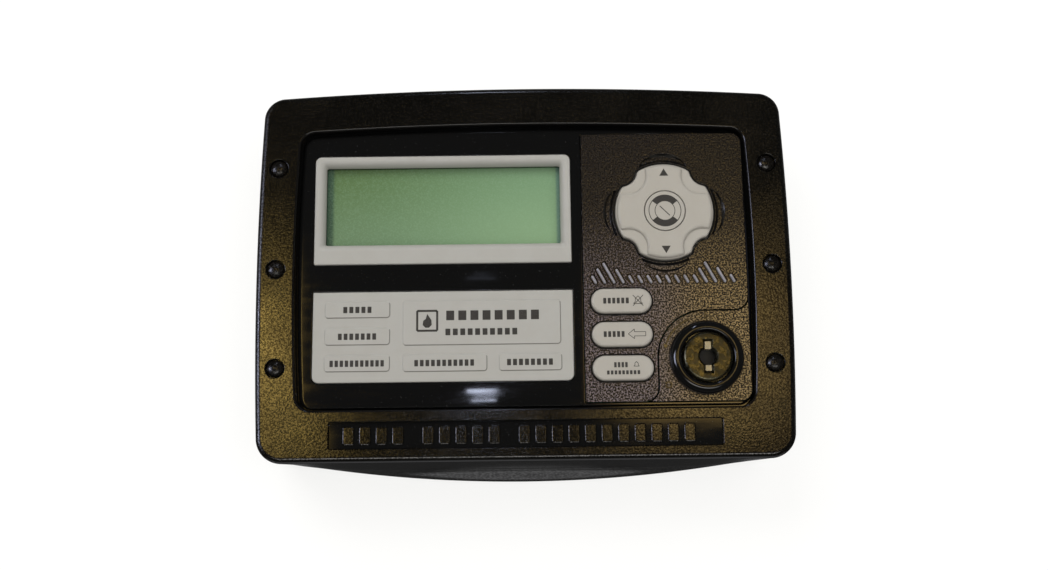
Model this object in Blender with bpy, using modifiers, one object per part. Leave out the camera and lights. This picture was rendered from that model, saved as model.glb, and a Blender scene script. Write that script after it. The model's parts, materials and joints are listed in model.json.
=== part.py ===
"""Remote fire alarm annunciator for a wall: a shallow box whose cover swings up, with a display,
an indicator panel, a rocking pad, three keys and a key switch.

x runs across, z up, and h is the height out from the wall, so world Y is minus h.
Every number below is in millimetres and is turned into metres by the helpers.
"""

import math

import bmesh
import bpy

MM = 0.001

# Housing
HALF_WIDTH = 88.85
DEPTH = 34.9
SEAM = 14.9
WALL = 2.2
FLOOR = 2.4
FRONT_WALL = 2.4
SIDE_BOW = 1.25
ARCH = 68.25
ARCH_END = 61.6
SEAM_TOP = 65.7
SEAM_TOP_END = 63.1
SEAM_BOTTOM = -64.05
SEAM_BOTTOM_END = -61.7
SEAM_BOTTOM_POWER = 6
FACE_TOP = 64.0
FACE_TOP_END = 61.4
FACE_BOTTOM = -61.8
TOP_CORNER = 7.5
BOTTOM_CORNER = 8.5
LIP_HEIGHT = 1.7
LIP_WALL = 1.4

# Gaps between fixed neighbours, and between pieces that move apart
FIT = 0.1
SEAM_GAP = 0.3
KEY_GAP = 0.3

# Recess in the front and what shows in it
RECESS_HALF = 74.85
RECESS_TOP = 50.9
RECESS_TOP_END = 48.9
RECESS_BOTTOM = -44.9
RECESS_CORNER = 5.0
FASCIA_FRONT = 32.2
FASCIA_BACK = 29.7
ISLAND_FRONT = 33.0
ISLAND_BACK = 30.5
ISLAND_LEFT = 19.8
ISLAND_RIGHT = 74.0
ISLAND_TOP = 47.5
ISLAND_BOTTOM = -43.0
BEZEL = (-70.0, 16.0, 3.6, 40.8)
BEZEL_MOUTH = (-67.7, 13.6, 9.4, 38.6)
BEZEL_THROAT = (-66.5, 12.4, 10.6, 37.4)
BEZEL_BACK = 28.6
LABEL = (-70.0, 16.1, -35.8, -5.7)
PANEL_FRONT = 32.9
FIELD_RISE = 0.25
FIELDS = (
    (-65.9, -44.5, -14.3, -9.0),
    (-65.9, -44.5, -23.3, -17.8),
    (-65.9, -44.5, -32.1, -26.8),
    (-40.1, 11.9, -23.6, -9.0),
    (-40.1, -12.5, -32.3, -26.8),
    (-8.4, 12.1, -32.3, -26.8),
)
LAMPS = (
    ("alarm_lamp", -55.2, -11.7, "lens_red"),
    ("trouble_lamp", -55.2, -20.6, "lens_amber"),
    ("supervisory_lamp", -55.2, -29.4, "lens_amber"),
    ("silenced_lamp", -26.3, -29.5, "lens_amber"),
    ("power_lamp", 1.9, -29.5, "lens_green"),
)
NAME_SLOT = (-64.0, 64.0, -57.6, -48.4)
NAME_GROUPS = (4, 5, 11)
PLUGS = (
    ("upper_left", -82.0, 36.4),
    ("middle_left", -82.3, 1.9),
    ("lower_left", -81.7, -31.0),
    ("upper_right", 82.0, 36.4),
    ("middle_right", 82.3, 1.9),
    ("lower_right", 81.7, -31.0),
)

# Rocking pad and its centre button
PAD_X = 47.3
PAD_Z = 20.2
PAD_RADIUS = 16.4
PAD_FRONT = 35.4
PAD_PIVOT = 31.5
CENTRE_RADIUS = 6.7
PAD_SWITCH_ARM = 11.5

# Slanted ribs under the pad
RIB_BASE = -3.9
RIB_START = 24.0
RIB_PITCH = 3.067
RIB_LEAN = math.radians(28)
RIB_TOPS = (-1.2, 1.2, 3.1, 1.0, -1.2, -1.2, -1.2, -1.2, -1.2, -1.2, -1.2, -1.2, 1.0, 3.1, 1.2, -1.2)

# Three keys
KEY_X = 32.1
KEYS = (("silence", -9.9), ("reset", -21.0), ("drill", -32.1))
KEY_LENGTH = 20.0
KEY_HEIGHT = 8.2
KEY_FRONT = 34.7

# Key switch
LOCK_X = 59.5
LOCK_Z = -28.9
PLUG_RADIUS = 8.1
PLUG_FRONT = 37.6
LOCK_TURN = 16.0

# Boards
BOARD_BACK = 17.2
BOARD_FRONT = 18.8
BOARD_HALF_WIDTH = 82.0
BOARD_HALF_HEIGHT = 56.6
BOSSES = ((-79.3, 54.2), (79.3, 54.2), (-79.3, -54.0), (79.3, -54.0))
DISPLAY_X = -27.05
DISPLAY_Z = 24.0
DISPLAY_BOARD_BACK = 22.8
DISPLAY_BOARD_FRONT = 24.3
SWITCH_TOP = 22.2
STEM_TOP = 24.3

# Cover hinge line: the top edge of the seam
HINGE_Z = 65.8
HINGE_H = 14.75

# Wall side
CABLE_ENTRY = (-22.0, 22.0, -36.0, -8.0)
BOX_SCREWS = ((-23.0, 41.65), (23.0, 41.65), (-23.0, -41.65), (23.0, -41.65))
WALL_SCREWS = ((-62.0, 45.0), (62.0, 45.0), (-62.0, -45.0), (62.0, -45.0))
HOOK_X = 45.0
TONGUE_X = 35.0

# Name: colour, roughness, metallic
FINISHES = {
    "housing_black": ((0.030, 0.027, 0.023), 0.50, 0.0),
    "gloss_black": ((0.010, 0.010, 0.010), 0.12, 0.0),
    "panel_texture": ((0.055, 0.046, 0.038), 0.55, 0.0),
    "light_grey": ((0.60, 0.58, 0.54), 0.45, 0.0),
    "key_grey": ((0.62, 0.60, 0.56), 0.40, 0.0),
    "display_green": ((0.22, 0.38, 0.22), 0.25, 0.0),
    "zinc_plate": ((0.62, 0.62, 0.60), 0.35, 1.0),
    "circuit_green": ((0.02, 0.16, 0.07), 0.45, 0.0),
    "plug_brass": ((0.45, 0.38, 0.20), 0.30, 1.0),
    "white_plastic": ((0.75, 0.75, 0.72), 0.50, 0.0),
    "black_plastic": ((0.02, 0.02, 0.02), 0.55, 0.0),
    "terminal_green": ((0.05, 0.32, 0.12), 0.50, 0.0),
    "lens_red": ((0.60, 0.03, 0.02), 0.20, 0.0),
    "lens_amber": ((0.75, 0.42, 0.03), 0.20, 0.0),
    "lens_green": ((0.05, 0.55, 0.10), 0.20, 0.0),
    "backlight_white": ((0.80, 0.82, 0.78), 0.40, 0.0),
}


# ---------------------------------------------------------------- scene and materials


def clear_scene():
    for obj in list(bpy.data.objects):
        bpy.data.objects.remove(obj, do_unlink=True)


def new_collection(name, parent, hidden=False):
    collection = bpy.data.collections.new(name)
    parent.children.link(collection)
    collection.hide_render = hidden
    return collection


def finish(name):
    """The Principled material of this name, made on first use."""
    material = bpy.data.materials.get(name)
    if material:
        return material
    colour, roughness, metallic = FINISHES[name]
    material = bpy.data.materials.new(name)
    material.use_nodes = True
    shader = material.node_tree.nodes["Principled BSDF"]
    shader.inputs["Base Color"].default_value = (*colour, 1.0)
    shader.inputs["Roughness"].default_value = roughness
    shader.inputs["Metallic"].default_value = metallic
    material.diffuse_color = (*colour, 1.0)
    return material


# ---------------------------------------------------------------- outlines, as lists of (x, z)


def arc(cx, cz, radius, start, end, steps):
    """Points on an arc, both ends included, with angles in degrees."""
    points = []
    for i in range(steps + 1):
        angle = math.radians(start + (end - start) * i / steps)
        points.append((cx + radius * math.cos(angle), cz + radius * math.sin(angle)))
    return points


def circle(cx, cz, radius, steps=24):
    return arc(cx, cz, radius, 0, 360, steps)[:-1]


def rounded_box(left, right, bottom, top, radii=0.0, steps=4):
    """A rectangle with round corners. radii is one number, or four from the bottom left, anticlockwise."""
    if isinstance(radii, (int, float)):
        radii = (radii,) * 4
    corners = (
        (left, bottom, 1, 1, 180),
        (right, bottom, -1, 1, 270),
        (right, top, -1, -1, 0),
        (left, top, 1, -1, 90),
    )
    points = []
    for (x, z, sx, sz, start), radius in zip(corners, radii):
        if radius > 0:
            points += arc(x + sx * radius, z + sz * radius, radius, start, start + 90, steps)
        else:
            points.append((x, z))
    return points


def stadium(cx, cz, length, height, steps=8):
    radius = height / 2
    run = length / 2 - radius
    return arc(cx + run, cz, radius, -90, 90, steps) + arc(cx - run, cz, radius, 90, 270, steps)


def lobed(cx, cz, radius, notch_radius, notch_centre, steps=64):
    """A circle with a round notch on each diagonal."""
    points = []
    for i in range(steps):
        angle = 2 * math.pi * i / steps
        off = (angle - math.pi / 4) % (math.pi / 2)
        off = min(off, math.pi / 2 - off)
        reach = radius
        side = notch_centre * math.sin(off)
        if side < notch_radius:
            near = notch_centre * math.cos(off) - math.sqrt(notch_radius**2 - side**2)
            reach = min(radius, near)
        points.append((cx + reach * math.cos(angle), cz + reach * math.sin(angle)))
    return points


def arched(half, top, top_end, bottom, bottom_end, corners, bow=SIDE_BOW, inset=0.0, power=2):
    """A wide box outline: arched top and bottom edges, bowed sides, round corners. Always 48 points.

    A higher power keeps the bottom edge straighter in the middle and lifts it nearer the ends.
    """
    half, top, top_end = half - inset, top - inset, top_end - inset
    bottom, bottom_end = bottom + inset, bottom_end + inset
    low = max(corners[0] - inset, 0.6)
    high = max(corners[1] - inset, 0.6)
    edge, side, turn = 10, 4, 5

    def across(mid, end, reach, direction, degree=2):
        line = []
        for i in range(1, edge):
            t = -1 + 2 * i / edge
            line.append((direction * reach * t, mid + (end - mid) * t**degree))
        return line

    def along(start, end, direction):
        line = []
        for i in range(1, side):
            t = -1 + 2 * i / side
            z = start + (end - start) * i / side
            line.append((direction * (half + bow * (1 - t * t)), z))
        return line

    points = across(bottom, bottom_end, half - low, 1, power)
    points += arc(half - low, bottom_end + low, low, -90, 0, turn)
    points += along(bottom_end + low, top_end - high, 1)
    points += arc(half - high, top_end - high, high, 0, 90, turn)
    points += across(top, top_end, half - high, -1)
    points += arc(high - half, top_end - high, high, 90, 180, turn)
    points += along(top_end - high, bottom_end + low, -1)
    points += arc(low - half, bottom_end + low, low, 180, 270, turn)
    return points


def seam_outline(inset=0.0):
    corners = (BOTTOM_CORNER, TOP_CORNER)
    half = HALF_WIDTH - SIDE_BOW
    return arched(
        half, SEAM_TOP, SEAM_TOP_END, SEAM_BOTTOM, SEAM_BOTTOM_END, corners,
        inset=inset, power=SEAM_BOTTOM_POWER,
    )


def face_outline(inset=0.0):
    corners = (BOTTOM_CORNER, TOP_CORNER)
    half = HALF_WIDTH - SIDE_BOW
    return arched(half, FACE_TOP, FACE_TOP_END, FACE_BOTTOM, FACE_BOTTOM, corners, inset=inset)


def wall_outline(inset=0.0):
    corners = (BOTTOM_CORNER, BOTTOM_CORNER)
    half = HALF_WIDTH - SIDE_BOW
    return arched(half, ARCH, ARCH_END, -ARCH, -ARCH_END, corners, inset=inset)


def recess_outline(inset=0.0):
    corners = (RECESS_CORNER, RECESS_CORNER)
    bottom = RECESS_BOTTOM
    return arched(RECESS_HALF, RECESS_TOP, RECESS_TOP_END, bottom, bottom, corners, inset=inset)


def blend(first, second, share):
    """An outline part of the way from the first to the second."""
    return [
        (x0 + (x1 - x0) * share, z0 + (z1 - z0) * share)
        for (x0, z0), (x1, z1) in zip(first, second)
    ]


# ---------------------------------------------------------------- solids


class Builder:
    """Makes the objects. Local x, y, z are x, z and h, and a quarter turn stands them up."""

    def __init__(self, shown, cutters):
        self.shown = shown
        self.cutters = cutters
        self.axis_points = {}

    def place(self, name, mesh, material, origin=(0, 0, 0), smooth=35):
        x, z, h = origin
        for vertex in mesh.vertices:
            vertex.co.x -= x * MM
            vertex.co.y -= z * MM
            vertex.co.z -= h * MM
        obj = bpy.data.objects.new(name, mesh)
        obj.location = (x * MM, -h * MM, z * MM)
        obj.rotation_euler = (math.radians(90), 0, 0)
        if material is None:
            self.cutters.objects.link(obj)
            obj.hide_render = True
            obj.display_type = "WIRE"
            return obj
        self.shown.objects.link(obj)
        mesh.materials.append(finish(material))
        mesh.polygons.foreach_set("use_smooth", [True] * len(mesh.polygons))
        mesh.set_sharp_from_angle(angle=math.radians(smooth))
        return obj

    def stack_mesh(self, rings):
        """A closed mesh through rings of equal point count, from the lowest h to the highest."""
        form = bmesh.new()
        loops = []
        for outline, h in rings:
            loops.append([form.verts.new((x * MM, z * MM, h * MM)) for x, z in outline])
        count = len(loops[0])
        form.faces.new(list(reversed(loops[0])))
        form.faces.new(loops[-1])
        for lower, upper in zip(loops, loops[1:]):
            for i in range(count):
                j = (i + 1) % count
                form.faces.new((lower[i], lower[j], upper[j], upper[i]))
        bmesh.ops.recalc_face_normals(form, faces=form.faces)
        mesh = bpy.data.meshes.new("stack")
        form.to_mesh(mesh)
        form.free()
        return mesh

    def plate_mesh(self, loops, low, high):
        """A flat plate between two heights. The first loop is its edge, the others are holes."""
        curve = bpy.data.curves.new("plate", "CURVE")
        curve.dimensions = "2D"
        curve.fill_mode = "BOTH"
        curve.extrude = (high - low) / 2 * MM
        for loop in loops:
            spline = curve.splines.new("POLY")
            spline.points.add(len(loop) - 1)
            spline.use_cyclic_u = True
            for point, (x, z) in zip(spline.points, loop):
                point.co = (x * MM, z * MM, 0, 1)
        holder = bpy.data.objects.new("plate", curve)
        self.shown.objects.link(holder)
        bpy.context.view_layer.update()
        graph = bpy.context.evaluated_depsgraph_get()
        mesh = bpy.data.meshes.new_from_object(holder.evaluated_get(graph))
        bpy.data.objects.remove(holder, do_unlink=True)
        form = bmesh.new()
        form.from_mesh(mesh)
        bmesh.ops.remove_doubles(form, verts=form.verts, dist=1e-6)
        bmesh.ops.translate(form, verts=form.verts, vec=(0, 0, (low + high) / 2 * MM))
        bmesh.ops.recalc_face_normals(form, faces=form.faces)
        form.to_mesh(mesh)
        form.free()
        mesh.materials.clear()
        return mesh

    def stack(self, name, rings, material, **options):
        return self.place(name, self.stack_mesh(rings), material, **options)

    def plate(self, name, loops, low, high, material, **options):
        return self.place(name, self.plate_mesh(loops, low, high), material, **options)

    def plates(self, name, shapes, material):
        """Several separate flat blocks in one mesh, each (outline, low, high)."""
        form = bmesh.new()
        for outline, low, high in shapes:
            lower = [form.verts.new((x * MM, z * MM, low * MM)) for x, z in outline]
            upper = [form.verts.new((x * MM, z * MM, high * MM)) for x, z in outline]
            form.faces.new(list(reversed(lower)))
            form.faces.new(upper)
            for i in range(len(outline)):
                j = (i + 1) % len(outline)
                form.faces.new((lower[i], lower[j], upper[j], upper[i]))
        bmesh.ops.recalc_face_normals(form, faces=form.faces)
        mesh = bpy.data.meshes.new(name)
        form.to_mesh(mesh)
        form.free()
        return self.place(name, mesh, material)

    def turned(self, name, centre, profile, material, steps=32, closed=True):
        """A shape turned about an axis out of the wall. The profile is (radius, h) from the front."""
        mesh = bpy.data.meshes.new(name)
        points = [(radius * MM, 0, h * MM) for radius, h in profile]
        edges = [(i, i + 1) for i in range(len(points) - 1)]
        if closed:
            edges.append((len(points) - 1, 0))
        mesh.from_pydata(points, edges, [])
        obj = bpy.data.objects.new(name, mesh)
        x, z = centre
        obj.location = (x * MM, 0, z * MM)
        obj.rotation_euler = (math.radians(90), 0, 0)
        screw = obj.modifiers.new("turn", "SCREW")
        screw.steps = steps
        screw.render_steps = steps
        screw.use_merge_vertices = True
        screw.merge_threshold = 1e-5
        screw.use_smooth_shade = True
        holder = self.cutters if material is None else self.shown
        holder.objects.link(obj)
        if material is None:
            obj.hide_render = True
            obj.display_type = "WIRE"
        else:
            mesh.materials.append(finish(material))
        return obj

    def frozen(self, obj, smooth=35):
        """The same object with its modifiers made into mesh, so that a Boolean can follow."""
        bpy.context.view_layer.update()
        graph = bpy.context.evaluated_depsgraph_get()
        mesh = bpy.data.meshes.new_from_object(obj.evaluated_get(graph))
        form = bmesh.new()
        form.from_mesh(mesh)
        bmesh.ops.remove_doubles(form, verts=form.verts, dist=1e-7)
        bmesh.ops.recalc_face_normals(form, faces=form.faces)
        form.to_mesh(mesh)
        form.free()
        obj.modifiers.clear()
        obj.data = mesh
        mesh.set_sharp_from_angle(angle=math.radians(smooth))
        return obj

    def combine(self, target, other, operation):
        step = target.modifiers.new(operation.lower(), "BOOLEAN")
        step.operation = operation
        step.solver = "EXACT"
        step.object = other

    def cut(self, target, cutter):
        self.combine(target, cutter, "DIFFERENCE")

    def add(self, target, extra):
        self.combine(target, extra, "UNION")


def box(left, right, bottom, top, low, high):
    return rounded_box(left, right, bottom, top), low, high


# ---------------------------------------------------------------- wall side


def back_plate(make):
    """The shallow tray on the wall. Its top and bottom flare out into an arch."""
    lip_top = SEAM + LIP_HEIGHT
    seat = SEAM - SEAM_GAP
    flare = ((0.0, 0.0, 0.8), (0.8, 0.0, 0.0), (4.0, 0.0, 0.0), (6.5, 0.10, 0.0))
    flare += ((9.0, 0.38, 0.0), (11.0, 0.68, 0.0), (13.0, 0.90, 0.0), (seat, 1.0, 0.0))
    rings = [
        (blend(wall_outline(inset), seam_outline(inset), share), h) for h, share, inset in flare
    ]
    lip_out = WALL + 0.45
    rings.append((seam_outline(lip_out), seat))
    rings.append((seam_outline(lip_out), lip_top))
    tray = make.stack("back_plate", rings, "housing_black")

    step = lip_out + LIP_WALL
    hollow = [
        (wall_outline(WALL), FLOOR),
        (wall_outline(WALL), 5.0),
        (blend(wall_outline(WALL), seam_outline(step), 0.9), 9.5),
        (seam_outline(step), 10.5),
        (seam_outline(step), lip_top + 1),
    ]
    make.cut(tray, make.stack("tray_hollow", hollow, None))

    entry = rounded_box(*CABLE_ENTRY, 3.0)
    holes = [(entry, -1, FLOOR + 1)]
    for x, z in BOX_SCREWS:
        holes.append((stadium(x, z, 9.0, 4.6, 6), -1, FLOOR + 1))
    for x, z in WALL_SCREWS:
        holes.append((keyhole(x, z), -1, FLOOR + 1))
    make.cut(tray, make.plates("tray_holes", holes, None))

    notches = []
    for side in (-1, 1):
        hook, tongue = side * HOOK_X, side * TONGUE_X
        notches.append(box(hook - 7, hook + 7, 54, 63, SEAM - SEAM_GAP, lip_top + 1))
        notches.append(box(tongue - 6.5, tongue + 6.5, -63, -54, SEAM - SEAM_GAP, lip_top + 1))
    make.cut(tray, make.plates("tray_notches", notches, None))

    ribs = [
        box(-72, 72, 51.2, 52.8, FLOOR - 0.4, FLOOR + 2.6),
        box(-72, 72, -52.8, -51.2, FLOOR - 0.4, FLOOR + 2.6),
        box(-38.8, -37.2, -48, 48, FLOOR - 0.4, FLOOR + 2.6),
        box(37.2, 38.8, -48, 48, FLOOR - 0.4, FLOOR + 2.6),
    ]
    make.add(tray, make.plates("tray_ribs", ribs, None))


def keyhole(x, z):
    """A round hole for the screw head with a narrow slot above it."""
    head, neck, rise = 4.2, 2.2, 8.0
    meet = math.degrees(math.asin(neck / head))
    return arc(x, z, head, 90 + meet, 450 - meet, 14) + arc(x, z + rise, neck, 0, 180, 6)


# ---------------------------------------------------------------- cover and what is fixed to it


def front_cover(make):
    face = DEPTH
    rings = [
        (seam_outline(), SEAM),
        (face_outline(), face - 2.0),
        (face_outline(0.2), face - 1.1),
        (face_outline(0.8), face - 0.4),
        (face_outline(1.9), face),
    ]
    shell = make.stack("front_cover", rings, "housing_black")
    hollow = [
        (seam_outline(WALL), SEAM - 1),
        (face_outline(WALL), face - FRONT_WALL),
    ]
    make.cut(shell, make.stack("cover_hollow", hollow, None))

    mouth = [
        (recess_outline(), face - FRONT_WALL - 1),
        (recess_outline(), face - 0.8),
        (recess_outline(-0.1), face - 0.4),
        (recess_outline(-0.35), face - 0.12),
        (recess_outline(-0.75), face + 0.05),
        (recess_outline(-0.75), face + 1),
    ]
    make.cut(shell, make.stack("cover_recess", mouth, None))

    cuts = [(rounded_box(*NAME_SLOT, 1.0), face - 1.2, face + 1)]
    for _, x, z in PLUGS:
        cuts.append((circle(x, z, 3.25, 20), face - 1.3, face + 1))
    make.cut(shell, make.plates("cover_sinks", cuts, None))
    holes = [(circle(x, z, 1.7, 12), face - 6, face + 2) for _, x, z in PLUGS]
    make.cut(shell, make.plates("cover_plug_holes", holes, None))

    make.add(shell, make.plates("name_blocks", name_blocks(face), None))

    inner = face - FRONT_WALL + 0.5
    posts = [(circle(x, z, 2.5, 16), BOARD_FRONT + FIT, inner) for x, z in BOSSES]
    make.add(shell, make.plates("cover_posts", posts, None))
    pilots = [(circle(x, z, 1.35, 12), BOARD_FRONT - 1, 28.0) for x, z in BOSSES]
    make.cut(shell, make.plates("cover_pilots", pilots, None))

    arms = []
    for side in (-1, 1):
        hook, tongue = side * HOOK_X, side * TONGUE_X
        arms.append(box(hook - 5, hook + 5, 57.4, 59.2, 8.0, 18.5))
        arms.append(box(hook - 5, hook + 5, 57.4, 63.0, 18.0, 22.0))
        arms.append(box(tongue - 4.5, tongue + 4.5, -59.3, -57.6, 9.0, 18.5))
        arms.append(box(tongue - 4.5, tongue + 4.5, -62.6, -57.6, 18.0, 22.0))
    make.add(shell, make.plates("cover_arm_ends", arms[0::2], None))
    make.add(shell, make.plates("cover_arm_roots", arms[1::2], None))


def name_blocks(face):
    """Plain raised blocks in the long slot, where a maker would mould a title."""
    pitch, left = 5.36, -59.3
    blocks = []
    for count in NAME_GROUPS:
        for _ in range(count):
            blocks.append((rounded_box(left, left + 3.7, -56.1, -50.1), face - 1.5, face - 0.75))
            left += pitch
        left += 4.4
    return blocks


def display_fascia(make):
    """The glossy surround of the display and the label panel."""
    low, high = FASCIA_BACK, FASCIA_FRONT
    rings = [
        (recess_outline(-1.7), low),
        (recess_outline(-1.7), high - 1.4),
        (recess_outline(0.5), high - 1.4),
        (recess_outline(0.6), high - 1.0),
        (recess_outline(0.9), high - 0.5),
        (recess_outline(1.4), high - 0.15),
        (recess_outline(2.2), high),
    ]
    panel = make.stack("display_fascia", rings, "gloss_black")
    island = (ISLAND_LEFT, ISLAND_RIGHT, ISLAND_BOTTOM, ISLAND_TOP)
    openings = [
        (grown(BEZEL, 0.2, (0.5, 0.5, 2.2, 2.2)), low - 1, high + 1),
        (grown(LABEL, 0.2, (2.4, 2.4, 0.5, 0.5)), low - 1, high + 1),
        (grown(island, 0.2, (0.4, 3.6, 3.6, 0.4)), low - 1, high + 1),
    ]
    make.cut(panel, make.plates("fascia_openings", openings, None))


def grown(rectangle, margin, radii):
    left, right, bottom, top = rectangle
    return rounded_box(left - margin, right + margin, bottom - margin, top + margin, radii)


def pad_edge(radius_change=0.0):
    return lobed(PAD_X, PAD_Z, PAD_RADIUS + radius_change, 5.5 - radius_change, 20.2)


def control_fascia(make):
    """The grained plate around the pad and the keys. The lock's corner is a plate of its own."""
    edge = rounded_box(ISLAND_LEFT, ISLAND_RIGHT, ISLAND_BOTTOM, ISLAND_TOP, (0.3, 0, 3.5, 0.3))
    corner = edge.index((ISLAND_RIGHT, ISLAND_BOTTOM))
    turn = 4.5
    notch = arc(39.0, ISLAND_BOTTOM + turn, turn, -90, 0, 5)
    notch += arc(LOCK_X, LOCK_Z, LOCK_TURN, 180, 90, 10)
    notch += arc(ISLAND_RIGHT - turn, LOCK_Z + LOCK_TURN + turn, turn, -90, 0, 5)
    loop = edge[:corner] + notch + edge[corner + 1:]
    holes = [pad_edge(0.5)]
    for _, z in KEYS:
        holes.append(stadium(KEY_X, z, KEY_LENGTH + 0.6, KEY_HEIGHT + 0.6))
    loops = [loop] + holes
    plate = make.plate("control_fascia", loops, ISLAND_BACK, ISLAND_FRONT, "panel_texture")
    dishes = [(crescent(turn), ISLAND_FRONT - 0.9, ISLAND_FRONT + 1) for turn in range(0, 360, 90)]
    make.cut(plate, make.plates("finger_dishes", dishes, None))
    make.add(plate, make.plates("sounder_ribs", sounder_ribs(), None))


def crescent(turn):
    """A finger dish beside one lobe of the pad."""
    spread, steps = 25, 8
    inner, outer = [], []
    for i in range(steps + 1):
        share = -1 + 2 * i / steps
        angle = math.radians(turn + spread * share)
        reach = 17.6 + 2.9 * (1 - share * share) + 0.05
        inner.append((PAD_X + 17.6 * math.cos(angle), PAD_Z + 17.6 * math.sin(angle)))
        outer.append((PAD_X + reach * math.cos(angle), PAD_Z + reach * math.sin(angle)))
    return outer + list(reversed(inner))


def sounder_ribs():
    half = 0.55
    ribs = []
    for i, top in enumerate(RIB_TOPS):
        x = RIB_START + RIB_PITCH * i
        lean = (top - RIB_BASE) * math.tan(RIB_LEAN)
        outline = [(x - half, RIB_BASE), (x + half, RIB_BASE)]
        outline += [(x + half - lean, top), (x - half - lean, top)]
        ribs.append((outline, ISLAND_FRONT - 0.5, ISLAND_FRONT + 0.5))
    return ribs


def lock_plate(make):
    """The corner plate that carries the key switch."""
    gap, turn = 0.5, 4.5
    swell = turn + gap
    loop = arc(39.0, ISLAND_BOTTOM + turn, swell, -60, 0, 5)
    loop += arc(LOCK_X, LOCK_Z, LOCK_TURN - gap, 180, 90, 10)
    loop += arc(ISLAND_RIGHT - turn, LOCK_Z + LOCK_TURN + turn, swell, -90, -30, 5)
    loop.append((ISLAND_RIGHT, loop[-1][1]))
    loop += arc(ISLAND_RIGHT - 3.5, ISLAND_BOTTOM + 3.5, 3.5, 0, -90, 4)
    loop.append((loop[0][0], ISLAND_BOTTOM))
    hole = circle(LOCK_X, LOCK_Z, 9.6, 32)
    make.plate("lock_plate", [loop, hole], ISLAND_BACK, ISLAND_FRONT, "panel_texture")


def lcd_bezel(make):
    """The pale frame round the display. Its inner walls slope down to the glass."""
    radii = (0.5, 0.5, 2.0, 2.0)
    rings = [
        (rounded_box(*BEZEL, radii), BEZEL_BACK),
        (rounded_box(*BEZEL, radii), PANEL_FRONT - 0.5),
        (grown(BEZEL, -0.15, radii), PANEL_FRONT - 0.15),
        (grown(BEZEL, -0.5, radii), PANEL_FRONT),
    ]
    frame = make.stack("lcd_bezel", rings, "light_grey")
    throat = [
        (rounded_box(*BEZEL_THROAT, 0.6), BEZEL_BACK - 1),
        (rounded_box(*BEZEL_THROAT, 0.6), BEZEL_BACK + 0.4),
        (rounded_box(*BEZEL_MOUTH, 0.9), PANEL_FRONT - 0.3),
        (grown(BEZEL_MOUTH, 0.3, 1.0), PANEL_FRONT + 0.05),
        (grown(BEZEL_MOUTH, 0.3, 1.0), PANEL_FRONT + 1),
    ]
    make.cut(frame, make.stack("bezel_throat", throat, None))


def label_panel(make):
    """The pale panel over the indicator lamps, with slightly raised fields."""
    radii = (2.2, 2.2, 0.4, 0.4)
    low, high = ISLAND_BACK - 0.1, PANEL_FRONT - FIELD_RISE
    rings = [
        (rounded_box(*LABEL, radii), low),
        (rounded_box(*LABEL, radii), high - 0.5),
        (grown(LABEL, -0.15, radii), high - 0.15),
        (grown(LABEL, -0.5, radii), high),
    ]
    panel = make.stack("label_panel", rings, "light_grey")
    fields = [(rounded_box(*field, 1.0, 3), high - 0.4, PANEL_FRONT) for field in FIELDS]
    make.add(panel, make.plates("label_fields", fields, None))


def light_box(make):
    """Walls that keep each lamp's light to its own field."""
    loops = [rounded_box(-69.0, 15.2, -35.0, -6.8, 1.0)]
    for _, x, z, _ in LAMPS:
        loops.append(rounded_box(x - 9.5, x + 9.5, z - 3.6, z + 3.6, 0.8, 2))
    make.plate("light_box", loops, BOARD_FRONT + FIT, ISLAND_BACK - 0.2, "white_plastic")


def lamps(make):
    base = BOARD_FRONT + FIT
    for name, x, z, lens in LAMPS:
        dome = [(0, base + 5.4), (0.8, base + 5.2), (1.35, base + 4.6), (1.5, base + 3.9)]
        dome += [(1.5, base + 1.0), (1.9, base + 1.0), (1.9, base), (0, base)]
        make.turned(name, (x, z), dome, lens, steps=12, closed=False)


def cover_plugs(make):
    """Dome-headed plugs in the six counterbores of the front."""
    for where, x, z in PLUGS:
        seat = DEPTH - 1.2
        head = [(0, seat + 1.75), (1.1, seat + 1.62), (2.0, seat + 1.2), (2.65, seat + 0.6), (2.9, seat)]
        shank = [(1.5, seat), (1.5, DEPTH - 4.0), (0, DEPTH - 4.0)]
        make.turned(f"cover_plug_{where}", (x, z), head + shank, "housing_black", 14, closed=False)


# ---------------------------------------------------------------- display module


def display_module(make):
    x, z = DISPLAY_X, DISPLAY_Z
    holes = [(x + sx * 46.0, z + sz * 27.5) for sx in (-1, 1) for sz in (-1, 1)]
    low, high = DISPLAY_BOARD_BACK, DISPLAY_BOARD_FRONT
    board = [rounded_box(x - 48.5, x + 48.5, z - 30, z + 30, 0.8)]
    board += [circle(hx, hz, 1.6, 12) for hx, hz in holes]
    make.plate("lcd_board", board, low, high, "circuit_green")
    light = rounded_box(x - 40.0, x + 40.0, z - 14.0, z + 14.0, 0.5)
    make.plate("lcd_backlight", [light], high + FIT, high + 2.1, "backlight_white")
    glass = rounded_box(x - 40.3, x + 40.3, z - 14.4, z + 14.4, 0.3)
    make.plate("lcd_glass", [glass], high + 2.2, BEZEL_BACK - 0.3, "display_green")
    window = rounded_box(x - 40.6, x + 40.6, z - 14.7, z + 14.7, 0.3)
    can = rounded_box(x - 47.5, x + 47.5, z - 20, z + 20, 1.0)
    make.plate("lcd_frame", [can, window], high + FIT, BEZEL_BACK - 0.5, "zinc_plate")
    for number, (hx, hz) in enumerate(holes, 1):
        spacer = [circle(hx, hz, 2.5, 16), circle(hx, hz, 1.3, 12)]
        name = f"display_spacer_{number}"
        make.plate(name, spacer, BOARD_FRONT + FIT, low - FIT, "white_plastic")


def display_header(make):
    """The pin strip between the display board and the main board, with its pins."""
    low, high = BOARD_FRONT + FIT, DISPLAY_BOARD_BACK - FIT
    strip = rounded_box(-66.0, -25.4, 49.0, 51.5, 0.2)
    make.plate("display_header", [strip], low, high, "black_plastic")


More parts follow.
